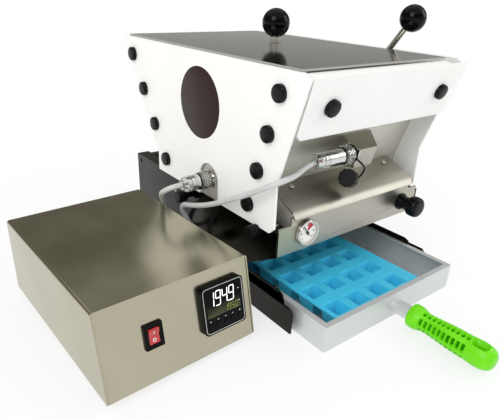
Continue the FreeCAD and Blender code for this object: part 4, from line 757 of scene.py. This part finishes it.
# %% A tree of bars round a circle
def ring_tree():
    tree = bpy.data.node_groups.new("bars_round_a_circle", "GeometryNodeTree")
    face = tree.interface
    face.new_socket("Geometry", in_out="INPUT", socket_type="NodeSocketGeometry")
    face.new_socket("Count", in_out="INPUT", socket_type="NodeSocketInt")
    for label in ("Radius", "Bar Deep", "Bar Wide", "Bar Tall"):
        face.new_socket(label, in_out="INPUT", socket_type="NodeSocketFloat")
    face.new_socket("Material", in_out="INPUT", socket_type="NodeSocketMaterial")
    face.new_socket("Geometry", in_out="OUTPUT", socket_type="NodeSocketGeometry")
    given = add(tree, "NodeGroupInput").outputs
    ring = add(tree, "GeometryNodeMeshCircle", {"Vertices": given["Count"], "Radius": given["Radius"]})
    size = add(tree, "ShaderNodeCombineXYZ",
               {"X": given["Bar Deep"], "Y": given["Bar Wide"], "Z": given["Bar Tall"]})
    bar = add(tree, "GeometryNodeMeshCube", {"Size": size.outputs["Vector"]})
    where = add(tree, "GeometryNodeInputPosition")
    turn = add(tree, "FunctionNodeAlignRotationToVector", {"Vector": where.outputs["Position"]}, axis="X")
    spread = add(tree, "GeometryNodeInstanceOnPoints",
                 {"Points": ring.outputs["Mesh"], "Instance": bar.outputs["Mesh"],
                  "Rotation": turn.outputs["Rotation"]})
    real = add(tree, "GeometryNodeRealizeInstances", {"Geometry": spread.outputs["Instances"]})
    coat = add(tree, "GeometryNodeSetMaterial",
               {"Geometry": real.outputs["Geometry"], "Material": given["Material"]})
    add(tree, "NodeGroupOutput", {"Geometry": coat.outputs["Geometry"]})
    return tree


RING = ring_tree()


def bars(name, count, radius, deep, wide, tall, material, body, place):
    values = {"Count": count, "Radius": radius * MM, "Bar Deep": deep * MM, "Bar Wide": wide * MM,
              "Bar Tall": tall * MM, "Material": material}
    return run_tree(name, RING, bpy.data.meshes.new(f"{name}_start"), values, body, place)


# %% Knurled connector rings
RING_RADIUS = 9.6
NECK_LONG, RING_LONG = 4.6, 12.9
FRONT_AXIS = (-8.5, -136.5, 169.8)
SIDE_AXIS = (-119.0, -29.0, 129.0)
LEFTWARD = (-1, 0, 0)
KNURL_ROWS, KNURL_COUNT = 4, 22
KNURL_START, KNURL_END = NECK_LONG + 1.6, NECK_LONG + RING_LONG - 1.8
KNURL_PITCH = (KNURL_END - KNURL_START) / KNURL_ROWS
RIB_DEEP, RIB_WIDE, RIB_LONG = 1.7, 1.5, 0.7 * KNURL_PITCH
for name, axis in (("front", FRONT_AXIS), ("side", SIDE_AXIS)):
    for row in range(KNURL_ROWS):
        along = KNURL_START + (row + 0.5) * KNURL_PITCH
        half_turn = math.pi / KNURL_COUNT * (row % 2)
        middle = facing((axis[0] - along, axis[1], axis[2]), LEFTWARD, half_turn)
        knurl = bars(f"{name}_knurl_{row + 1}", KNURL_COUNT, RING_RADIUS, RIB_DEEP, RIB_WIDE,
                     RIB_LONG, NICKEL, f"{name}_ring", middle)

# %% [markdown]
# The plugs are turned parts. Their outline is read from the ring to the cable:
# a black sealing ring, a plain barrel, a few grooves, then the clamping nut
# with a dark recess where the cable goes in.


# %% Turned plugs
def plug_outline(long):
    """Half outline of a plug, (radius, length), for a plug this long."""
    barrel = [(0, 0), (8.3, 0), (8.3, 1.3), (8.9, 1.6), (9.0, 2.2)]
    nut = [(9.0, 0), (8.3, 0.3), (8.3, 0.9), (9.0, 1.2), (9.0, 2.4), (8.3, 2.7), (8.3, 3.3), (8.8, 3.6),
           (8.8, 6.4), (7.5, 7.0), (7.5, 8.2), (8.2, 8.6), (8.2, 13.0), (7.3, 14.6), (6.9, 16), (5.6, 16),
           (4.9, 15.2), (4.6, 13.2), (0, 13.2)]
    nut_long = max(along for radius, along in nut)
    return barrel + [(radius, long - nut_long + along) for radius, along in nut]


def plug(name, axis, long):
    start = (axis[0] - NECK_LONG - RING_LONG - 0.3, axis[1], axis[2])
    where = facing(start, LEFTWARD)
    body = fasten(f"{name}_plug_body", lathe(plug_outline(long), 56), NICKEL, "machine", where)
    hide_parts(f"{name}_plug")
    seal = lathe([(0, 0.1), (9.1, 0.1), (9.35, 0.4), (9.35, 1.0), (9.1, 1.3), (0, 1.3)], 56)
    seal_piece = fasten(f"{name}_seal", seal, RUBBER, "machine", where)
    nut_at = (start[0] - (long - 5.2), axis[1], axis[2])
    flutes = bars(f"{name}_nut_flutes", 16, 8.2, 0.7, 1.5, 3.6, NICKEL, "machine", facing(nut_at, LEFTWARD))


plug("front", FRONT_AXIS, 39)
plug("side", SIDE_AXIS, 21)

# %% [markdown]
# ## The round disc on the left panel
#
# A film of dark brown vinyl, 79 mm across, is stuck on the left panel. It is
# left bare. Film is thin, but its cut edge still catches light.

# %% Brown disc
DISC_RADIUS = 39.3
disc = lathe([(0, 0), (DISC_RADIUS, 0), (DISC_RADIUS, 0.18), (DISC_RADIUS - 0.15, 0.25), (0, 0.25)], 96)
disc_spot = facing((PANEL_LEFT, -8.5, 211.5), LEFTWARD)
fasten("panel_disc", disc, brown_vinyl(), "machine", disc_spot)

# %% [markdown]
# ## The front knob
#
# The knob that holds the front plate flares from a slim neck to a smooth round
# head with a soft rim. It is turned afresh here, since a plain outline shows.

# %% Flared front knob
FRONT_KNOB = [(0, 0), (10.5, 0), (10.5, 1.5), (8.6, 1.6), (8.2, 3), (8.0, 8), (8.6, 11),
              (10.2, 13.5), (11.8, 15.6), (12.4, 17.5), (12.5, 21), (12.3, 24), (11.5, 26.2),
              (9.8, 27.5), (7, 28), (0, 28)]
knob_spot = facing((86, -143.0, 94), (0, -1, 0))
flared_knob = fasten("flared_front_knob", lathe(FRONT_KNOB, 56), BLACK_CAP, "front_knob", knob_spot, 50)
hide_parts("front_knob")

# %% [markdown]
# ## The two black balls
#
# The lid's knob and the lever's knob are moulded balls, each with a flat where
# its stem enters. Their highlights show the smallest facet, so both are turned
# again with many steps and replace the plainer solids.


# %% Turned balls
BALL_FLAT, BALL_STEPS = 5.0, 40


def ball_profile(radius):
    drop = math.sqrt(radius ** 2 - BALL_FLAT ** 2)
    start = math.asin(-drop / radius)
    profile = [(0, 0.0)]
    for step in range(BALL_STEPS + 1):
        angle = start + (math.pi / 2 - start) * step / BALL_STEPS
        profile.append((max(radius * math.cos(angle), 0), drop + radius * math.sin(angle)))
    return profile


LEVER_BALL, LID_BALL = 15, 16
LEVER_PIVOT, LEVER_LONG = Vector((102, 46.7, 94)), 260.5
LEVER_LEAN = math.radians(36.4)
LEVER_WAY = Vector((0, -math.sin(LEVER_LEAN), math.cos(LEVER_LEAN)))
LID_TOP, FERRULE_TALL = 269.3, 8.5
lever_reach = LEVER_LONG - math.sqrt(LEVER_BALL ** 2 - BALL_FLAT ** 2)
lever_foot = LEVER_PIVOT + LEVER_WAY * lever_reach
lever_knob = fasten("lever_knob", lathe(ball_profile(LEVER_BALL), 64), BLACK_BALL, "lever",
                    facing(lever_foot, LEVER_WAY), 60)
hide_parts("lever_ball")
lid_handle = fasten("lid_handle", lathe(ball_profile(LID_BALL), 64), BLACK_BALL, "lid",
                    facing((-16, -7, LID_TOP + FERRULE_TALL), (0, 0, 1)), 60)
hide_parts("lid_knob")


# %% [markdown]
# ## The green grip
#
# The tray's handle ends in a soft grip with rows of cells and an oval hole to
# hang it by. The cells follow a rule, so the grip is a fine grid whose points
# are pressed in where a cell lies, less deep where the tube is inside. The cell
# floors get a deeper green, painted shade for the little light that reaches
# them. A boolean then cuts the hole.

# %% Grip with cells
GRIP = [(0, 0), (12.2, 0), (13.0, 0.5), (13.3, 1.6), (13.3, 7.5), (12.9, 9.6), (11.8, 12.6), (10.9, 15.6),
        (10.6, 21), (11.3, 32), (12.3, 44), (12.7, 56), (12.8, 66), (13.2, 72), (13.4, 76), (13.2, 81),
        (12.2, 86), (10.2, 90), (7.2, 92.2), (3.6, 92.9), (0, 93)]
GRIP_START, GRIP_HIGH = -238.0, 16.0
CELL_ROWS, CELL_COUNT, CELL_FIRST, CELL_PITCH = 6, 10, 16, 5.4
CELL_HALF_LONG, CELL_ROUND = 2.0, 1.3
SIDE_HALF_WIDE, TOP_HALF_WIDE = 4.9, 3.0
TUBE_END, TUBE_SKIN, CELL_DEEP = 46, 8.4, 4.2
PAINTED_SHADE_FROM = 1.2
FINE_START, FINE_STEP, FINE_COUNT = 13, 0.34, 173
GRIP_ROLL = math.radians(102)


def grip_radius(along):
    for (low_r, low), (high_r, high) in zip(GRIP, GRIP[1:]):
        if low <= along <= high and high > low:
            return low_r + (high_r - low_r) * (along - low) / (high - low)
    return GRIP[-1][0]


def press(along, angle):
    """How deep the cells press the surface in at a spot, in millimetres."""
    step = round((along - CELL_FIRST) / CELL_PITCH)
    if not 0 <= step < CELL_COUNT:
        return 0.0
    row_turn = math.tau / CELL_ROWS
    row = round((angle - GRIP_ROLL) / row_turn)
    half_wide = TOP_HALF_WIDE if row % 3 == 0 else SIDE_HALF_WIDE
    away = angle - GRIP_ROLL - row * row_turn
    across = abs(away) * grip_radius(along) - (half_wide - CELL_ROUND)
    ahead = abs(along - CELL_FIRST - step * CELL_PITCH) - (CELL_HALF_LONG - CELL_ROUND)
    far = math.hypot(max(across, 0), max(ahead, 0))
    inside = min(max((CELL_ROUND - far) / 0.6, 0), 1)
    deep = CELL_DEEP if along > TUBE_END else grip_radius(along) - TUBE_SKIN
    return deep * inside * inside * (3 - 2 * inside)


def grip_mesh():
    around, rings = 216, []
    work = bmesh.new()
    fine = [FINE_START + FINE_STEP * step for step in range(FINE_COUNT)]
    stations = [(radius, along) for radius, along in GRIP if along < FINE_START]
    stations += [(grip_radius(along), along) for along in fine]
    stations += [(radius, along) for radius, along in GRIP if along > fine[-1]]
    pressed = {}
    for radius, along in stations[1:-1]:
        ring = []
        for step in range(around):
            angle = math.tau * step / around
            deep = press(along, angle)
            out = (radius - deep) * MM
            corner = work.verts.new((out * math.cos(angle), out * math.sin(angle), along * MM))
            pressed[corner] = deep
            ring.append(corner)
        rings.append(ring)
    for low, high in zip(rings, rings[1:]):
        for step in range(around):
            after = (step + 1) % around
            face = work.faces.new((low[step], low[after], high[after], high[step]))
            # Faces deep in a cell take the second material, the painted shade.
            face.material_index = int(min(pressed[corner] for corner in face.verts) > PAINTED_SHADE_FROM)
    work.faces.new(list(reversed(rings[0])))
    work.faces.new(rings[-1])
    bmesh.ops.recalc_face_normals(work, faces=work.faces)
    return work


def hang_cutter():
    """An oval bar through the grip's end, upright."""
    half, radius = 2.6, 6.0
    outline = []
    for centre, start in ((-half, 180), (half, 0)):
        for step in range(13):
            angle = math.radians(start + 15 * step)
            outline.append((radius * math.cos(angle), centre + radius * math.sin(angle)))
    return slab(outline, -20, 20)


grip_place = facing((0, GRIP_START, GRIP_HIGH), (0, -1, 0))
grip = fasten("soft_grip", grip_mesh(), GREEN, "tray", grip_place, 50)
# The second material is the painted shade of the cell floors.
grip.data.materials.append(painted_cell_shade())
cutter_tilt = Matrix.Rotation(-math.radians(8), 4, "Y")
cutter_place = Matrix.Translation(Vector((0, -315, GRIP_HIGH)) * MM) @ cutter_tilt
cutter = fasten("grip_cutter", hang_cutter(), GREEN, "tray", cutter_place)
hole = grip.modifiers.new("hole", "BOOLEAN")
hole.object = cutter
hole.solver = "EXACT"
graph = bpy.context.evaluated_depsgraph_get()
with_hole = bpy.data.meshes.new_from_object(grip.evaluated_get(graph))
grip.modifiers.clear()
grip.data = with_hole
bpy.data.objects.remove(cutter)
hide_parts("tray_grip")
print("grip faces:", len(with_hole.polygons))

# %% [markdown]
# ## The dial thermometer
#
# A bimetal thermometer has a white card with marks round its edge, plain
# numbers, and a red sector where the mass gets too hot.

# %% Dial marks, numbers and red sector
DIAL = facing((-76, -143 - 2.42, 97), (0, -1, 0))
INK = printed("black_dial_ink", "#1A1A1A", 0.5)
bars("dial_minor_marks", 60, 11.6, 0.9, 0.16, 0.04, INK, "machine", DIAL)
bars("dial_major_marks", 12, 11.2, 1.7, 0.34, 0.05, INK, "machine", DIAL)


def sector(inner, outer, start, end, steps=14):
    outline = []
    for radius, way in ((outer, 1), (inner, -1)):
        for step in range(steps + 1)[::way]:
            angle = math.radians(start + (end - start) * step / steps)
            outline.append((radius * math.cos(angle), radius * math.sin(angle)))
    return slab(outline, 0, 0.03)


# %% [markdown]
# Digits come from Blender's own font, turned to a mesh, then set in place.


# %% Numbers on the dial
def digits(name, text, tall_mm, material, body, place, thick_mm=0.02):
    curve = bpy.data.curves.new(name, "FONT")
    curve.body = text
    curve.size = tall_mm * MM * 1.4
    curve.extrude = thick_mm * MM
    curve.align_x = "CENTER"
    curve.align_y = "CENTER"
    curve.resolution_u = 3
    holder = bpy.data.objects.new(name, curve)
    bpy.context.scene.collection.objects.link(holder)
    graph = bpy.context.evaluated_depsgraph_get()
    mesh = bpy.data.meshes.new_from_object(holder.evaluated_get(graph))
    bpy.data.objects.remove(holder)
    mesh.transform(place)
    mesh.materials.clear()
    mesh.materials.append(material)
    piece = bpy.data.objects.new(name, mesh)
    bpy.context.scene.collection.objects.link(piece)
    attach(piece, body)
    return piece


fasten("dial_red_sector", sector(2.6, 10.9, 38, 84), printed("red_dial_ink", "#C4303A", 0.5),
       "machine", DIAL)
for index, number in enumerate(("0", "20", "40", "60", "80", "100", "120")):
    angle = math.radians(225 - 45 * index)
    spot = Matrix.Translation(Vector((8.6 * math.cos(angle), 8.6 * math.sin(angle), 0.05)) * MM)
    digits(f"dial_number_{index}", number, 1.9, INK, "machine", DIAL @ spot)

# %% [markdown]
# ## The control box's front
#
# The front leans back by 11.5 degrees and the whole box is turned by 2.5. A
# small function gives a place on that front from how far it is from the box's
# right edge and down from its top, as a maker would mark it out.


# %% Places on the leaning front
BOX_PLACE = Matrix.Translation(Vector((-161, 70, 0)) * MM) @ Matrix.Rotation(math.radians(2.5), 4, "Z")
FRONT_TOP_OUT, FRONT_TOP_HIGH = 210, 91.5
FRONT_FOOT_OUT, FRONT_FOOT_HIGH = 227, 8
FACE_BACK = 0.6
FRONT_TILT = math.atan2(FRONT_FOOT_OUT - FRONT_TOP_OUT, FRONT_TOP_HIGH - FRONT_FOOT_HIGH)


def on_front(side, drop):
    down = Vector((0, -math.sin(FRONT_TILT), -math.cos(FRONT_TILT)))
    spot = Vector((side, FACE_BACK - FRONT_TOP_OUT, FRONT_TOP_HIGH)) + down * drop
    return BOX_PLACE @ Matrix.Translation(spot * MM) @ Matrix.Rotation(math.pi / 2 - FRONT_TILT, 4, "X")


PANEL = on_front(-36, 39)
SWITCH = on_front(-109.3, 40.5)

# %% [markdown]
# ## Digits of the controller
#
# The controller shows its reading in seven-segment digits. Each segment is a
# flat bar with pointed ends, and a digit is the list of its lit segments.

# %% Seven-segment digits
LIT = {"0": "abcdef", "1": "bc", "4": "fgbc", "5": "afgcd", "9": "abcdfg"}


def segment(x, y, long, upright, thick):
    half, tip = long / 2 - thick * 0.15, thick / 2
    shape = [(-half, 0), (-half + tip, -tip), (half - tip, -tip),
             (half, 0), (half - tip, tip), (-half + tip, tip)]
    if upright:
        shape = [(-v, u) for u, v in shape]
    return [(u + x, v + y) for u, v in shape]


def reading(text, wide, tall, pitch, thick, centre, slant=0.09):
    works = []
    left = centre[0] - pitch * (len(text) - 1) / 2
    spots = {"a": (0, tall / 2, False), "g": (0, 0, False), "d": (0, -tall / 2, False),
             "f": (-wide / 2, tall / 4, True), "b": (wide / 2, tall / 4, True),
             "e": (-wide / 2, -tall / 4, True), "c": (wide / 2, -tall / 4, True)}
    for index, digit in enumerate(text):
        for name in LIT[digit]:
            x, y, upright = spots[name]
            shape = segment(x, y, tall / 2 if upright else wide, upright, thick)
            moved = [(u + left + pitch * index + v * slant, v + centre[1]) for u, v in shape]
            works.append(slab(moved, 5.62, 5.68))
    return merged(works)


WHITE_GLOW = glowing("white_display_light", "#F4F6F2", 1.1)
GREEN_GLOW = glowing("green_display_light", "#8C9C3C", 0.16)
large_digits = reading("1949", 5.4, 14.2, 7.7, 0.85, (-2.0, 10.2))
small_digits = reading("1950", 2.7, 6.4, 4.1, 0.4, (8.2, -3.0))
dot = lathe([(0, 5.6), (0.6, 5.6), (0.6, 5.68), (0, 5.68)], 12)
dot_place = PANEL @ Matrix.Translation(Vector((5.2, 3.4, 0)) * MM)
fasten("display_reading", large_digits, WHITE_GLOW, "machine", PANEL)
fasten("display_target", small_digits, GREEN_GLOW, "machine", PANEL)
fasten("display_point", dot, WHITE_GLOW, "machine", dot_place)


# %% [markdown]
# A thin pale line runs round the whole front, and small bright ticks stand at
# its right edge, where the controller shows which output is on.

# %% Window line and output ticks
def rounded_line(half_wide, half_tall, radius, thick, centre):
    """A closed thin frame with round corners, as one flat mesh."""
    def loop(grow):
        points = []
        for cx, cy, start in ((1, 1, 0), (-1, 1, 90), (-1, -1, 180), (1, -1, 270)):
            for step in range(6):
                angle = math.radians(start + 18 * step)
                points.append((centre[0] + cx * (half_wide - radius) + (radius + grow) * math.cos(angle),
                               centre[1] + cy * (half_tall - radius) + (radius + grow) * math.sin(angle)))
        return points
    work = bmesh.new()
    low, high = 6.0, 6.06
    rings = [[work.verts.new((x * MM, y * MM, z * MM)) for x, y in loop(grow)]
             for grow, z in ((0, low), (thick, low), (thick, high), (0, high))]
    count = len(rings[0])
    for first, second in zip(rings, rings[1:] + rings[:1]):
        for index in range(count):
            after = (index + 1) % count
            work.faces.new((first[index], first[after], second[after], second[index]))
    bmesh.ops.recalc_face_normals(work, faces=work.faces)
    return work


PALE_INK = printed("pale_print", "#D5D8D6", 0.4)
outline_work = rounded_line(22.2, 22.2, 3.2, 0.42, (0, 0))
fasten("display_outline", outline_work, PALE_INK, "machine", PANEL)
ticks = merged([slab([(17.2, y), (18.9, y), (18.9, y + 0.7), (17.2, y + 0.7)], 5.62, 5.67)
                for y in (11.5, -1)])
fasten("display_ticks", ticks, PALE_INK, "machine", PANEL)

# %% [markdown]
# ## Signs on the keys and the switch
#
# A small plain arrow is printed above each of the five keys. The rocker carries
# the usual bar and ring for on and off.

# %% Key arrows
KEY_SIGNS = [[(0, 1.1), (-1, -0.7), (1, -0.7)], [(0, -1.1), (1, 0.7), (-1, 0.7)],
             [(-1.1, 0), (0.7, -1), (0.7, 1)], [(1.1, 0), (-0.7, 1), (-0.7, -1)],
             [(-0.9, -0.9), (0.9, -0.9), (0.9, 0.9), (-0.9, 0.9)]]
for index, sign in enumerate(KEY_SIGNS):
    spot = PANEL @ Matrix.Translation(Vector((8.6 * (index - 2), -10.6, 0)) * MM) @ Matrix.Scale(0.7, 4)
    fasten(f"key_sign_{index + 1}", slab(sign, 8.57, 8.66), PALE_INK, "machine", spot)


# %% Rocker signs
def on_rocker(v):
    """A place on one half of the rocker's face, v millimetres up from its middle."""
    slope = math.copysign(math.atan2(1.5, 7.0), v)
    tipped = SWITCH @ Matrix.Rotation(math.radians(7), 4, "X")
    spot = Vector((0, v, 1.5 + abs(v) * 1.5 / 7.0 + 0.02)) * MM
    return tipped @ Matrix.Translation(spot) @ Matrix.Rotation(slope, 4, "X")


WHITE_INK = printed("white_print", "#EDEDED", 0.4)
fasten("rocker_bar", slab([(-0.35, -1.5), (0.35, -1.5), (0.35, 1.5), (-0.35, 1.5)], 0, 0.05),
       WHITE_INK, "rocker", on_rocker(3.6))
ring_work = lathe([(1.1, 0), (1.7, 0), (1.7, 0.05), (1.1, 0.05), (1.1, 0)], 28)
bmesh.ops.remove_doubles(ring_work, verts=ring_work.verts, dist=0.001 * MM)
fasten("rocker_ring", ring_work, WHITE_INK, "rocker", on_rocker(-3.6))

# %% [markdown]
# ## Cables
#
# Two cables carry heat and the sensor from the box to the hopper. A cable is a
# smooth line with a thickness, so each is a NURBS curve through the route that
# the solid follows. The order and the end setting come after the points,
# because set before them Blender falls back to straight runs.

# %% Draw the cables
CABLE_RADIUS = 3.0


def gland_mouth(ahead, deep):
    spot = BOX_PLACE @ (Vector((10 + ahead, deep, 32)) * MM)
    return tuple(spot / MM)


def cable(name, node, route, length):
    curve = bpy.data.curves.new(name, "CURVE")
    curve.dimensions = "3D"
    curve.bevel_depth = CABLE_RADIUS * MM
    curve.bevel_resolution = 5
    curve.resolution_u = 16
    curve.use_fill_caps = True
    line = curve.splines.new("NURBS")
    line.points.add(len(route) - 1)
    for point, spot in zip(line.points, route):
        point.co = (*(Vector(spot) * MM), 1)
    line.order_u = 3
    line.use_endpoint_u = True
    curve.materials.append(VINYL)
    piece = bpy.data.objects.new(name, curve)
    bpy.context.scene.collection.objects.link(piece)
    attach(piece, "machine")
    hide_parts(node)
    print(f"{name}: {len(route)} points, {length} mm")


SIDE_ROUTE = [
    (-157.8, -29, 129), (-168.5, -29.3, 129.5), (-175.5, -18, 121.5), (-170, -3, 112), (-160, 15.5, 99.7),
    (-147, 35, 83), (-137.5, 42, 68), (-129, 44, 54), (-127, 44.8, 42), (-132, 45.6, 34.5),
    gland_mouth(8, -25), gland_mouth(0, -25)]
FRONT_ROUTE = [
    (-65.3, -136.5, 169.8), (-78, -138, 168.2), (-99, -146, 164.5), (-124, -156, 167.5), (-134, -149, 162.2),
    (-135.5, -122, 146), (-138, -88.3, 127.3), (-139, -52, 108.8), (-141, -24, 98.6), (-143, -4, 93.5),
    (-141.5, 1, 84), (-136, -1.5, 71.5), (-128.5, -2, 58), (-126, -2, 45), (-130, -1.6, 35),
    gland_mouth(9, -72), gland_mouth(0, -72)]
cable("side_cable", "cable_side", SIDE_ROUTE, 170)
cable("front_cable", "cable_front", FRONT_ROUTE, 319)


# %% [markdown]
# ## Floor, light and camera
#
# The photo is a product shot on white. The floor here is white too: near the
# machine it takes real shadow, and further out it fades to plain white, so no
# horizon shows.


# %% White floor
def white_floor():
    material = bpy.data.materials.new("studio_floor")
    material.use_nodes = True
    tree = material.node_tree
    tree.nodes.clear()
    place = add(tree, "ShaderNodeTexCoord").outputs["Object"]
    far = add(tree, "ShaderNodeVectorMath", {0: place}, operation="LENGTH").outputs["Value"]
    fade = add(tree, "ShaderNodeMapRange", {"Value": far, "From Min": 0.3, "From Max": 0.62,
                                            "To Min": 0.72, "To Max": 1.0})
    path = add(tree, "ShaderNodeLightPath").outputs
    seen = add(tree, "ShaderNodeMath", {0: path["Is Camera Ray"], 1: path["Is Glossy Ray"]}, operation="ADD")
    shown = add(tree, "ShaderNodeMath", {0: seen, 1: path["Is Transmission Ray"]},
                operation="ADD", use_clamp=True)
    share = add(tree, "ShaderNodeMath", {0: fade, 1: shown}, operation="MULTIPLY")
    matt = add(tree, "ShaderNodeBsdfDiffuse", {"Color": linear("#F4F4F4")})
    glow = add(tree, "ShaderNodeEmission", {"Color": (1, 1, 1, 1), "Strength": 1.0})
    mix = add(tree, "ShaderNodeMixShader", {"Fac": share, 1: matt, 2: glow})
    add(tree, "ShaderNodeOutputMaterial", {"Surface": mix})
    return material


floor_work = bmesh.new()
bmesh.ops.create_circle(floor_work, cap_ends=True, segments=64, radius=6.0)
floor_mesh = bpy.data.meshes.new("floor")
floor_work.to_mesh(floor_mesh)
floor_work.free()
floor_mesh.transform(Matrix.Translation((-0.08, -0.05, -0.0002)))
floor_mesh.materials.append(white_floor())
floor = bpy.data.objects.new("floor", floor_mesh)
bpy.context.scene.collection.objects.link(floor)

# %% [markdown]
# Polished metal shows the room, so the room matters as much as the lamps. The
# world is white to the camera. To reflections it is white near the horizon
# and overhead, with darker walls between, as in a real studio.


# %% Room and lamps
def studio_world():
    world = bpy.data.worlds.new("studio")
    bpy.context.scene.world = world
    world.use_nodes = True
    tree = world.node_tree
    tree.nodes.clear()
    way = add(tree, "ShaderNodeTexCoord").outputs["Generated"]
    parts = add(tree, "ShaderNodeSeparateXYZ", {"Vector": way}).outputs
    rise = add(tree, "ShaderNodeValToRGB", {"Fac": parts["Z"]})
    stops = rise.color_ramp.elements
    stops[0].position, stops[0].color = 0.0, linear("#FFFFFF")
    stops[1].position, stops[1].color = 1.0, linear("#F2F0EA")
    for position, code in ((0.03, "#F5F5F3"), (0.07, "#A3A39F"), (0.2, "#83827C"), (0.4, "#6E6D65"),
                           (0.56, "#75736A"), (0.64, "#D9D7CF")):
        stop = stops.new(position)
        stop.color = linear(code)
    shine = add(tree, "ShaderNodeBackground", {"Color": rise.outputs["Color"], "Strength": 1.0})
    soft = add(tree, "ShaderNodeBackground", {"Color": linear("#FFFFFF"), "Strength": 0.85})
    white = add(tree, "ShaderNodeBackground", {"Color": (1, 1, 1, 1), "Strength": 1.0})
    path = add(tree, "ShaderNodeLightPath").outputs
    lit = add(tree, "ShaderNodeMixShader", {"Fac": path["Is Glossy Ray"], 1: soft, 2: shine})
    seen = add(tree, "ShaderNodeMath", {0: path["Is Camera Ray"], 1: path["Is Transmission Ray"]},
               operation="ADD", use_clamp=True)
    last = add(tree, "ShaderNodeMixShader", {"Fac": seen, 1: lit, 2: white})
    add(tree, "ShaderNodeOutputWorld", {"Surface": last})


def soft_box(name, place, aim, wide, tall, watts):
    lamp = bpy.data.lights.new(name, "AREA")
    lamp.shape = "RECTANGLE"
    lamp.size, lamp.size_y = wide, tall
    lamp.energy = watts
    holder = bpy.data.objects.new(name, lamp)
    bpy.context.scene.collection.objects.link(holder)
    away = Vector(aim) - Vector(place)
    holder.matrix_world = Matrix.Translation(place) @ away.to_track_quat("-Z", "Y").to_matrix().to_4x4()
    print(f"{name}: {watts} W")


studio_world()
soft_box("key_softbox", (-2.2, -1.0, 1.9), (-0.05, -0.05, 0.1), 1.6, 1.6, 32)
soft_box("fill_softbox", (1.2, -0.8, 0.9), (0.0, -0.1, 0.1), 0.9, 0.9, 6)

# %% [markdown]
# The camera stands where the photographer stood: to the front left and a bit
# above, rolled by two degrees. Its place was worked out from the machine's own
# known corners.

# %% Camera
turn, height, roll = (math.radians(angle) for angle in (-38.69, 24.30, 2.26))
level = Vector((math.cos(turn), math.sin(turn), 0))
back = Vector((math.sin(turn) * math.cos(height), -math.cos(turn) * math.cos(height), math.sin(height)))
up = back.cross(level)
across = level * math.cos(roll) + up * math.sin(roll)
upward = up * math.cos(roll) - level * math.sin(roll)
lens = bpy.data.cameras.new("camera")
lens.sensor_width = 36.0
lens.lens = 35.77
lens.shift_x = -0.00562
lens.shift_y = 0.00438
lens.clip_start = 0.01
camera = bpy.data.objects.new("camera", lens)
bpy.context.scene.collection.objects.link(camera)
stand = Matrix((across, upward, back)).transposed().to_4x4()
stand.translation = Vector((-413.5, -474.2, 329.4)) * MM
camera.matrix_world = stand
bpy.context.scene.camera = camera
bpy.context.scene.view_settings.view_transform = "Standard"
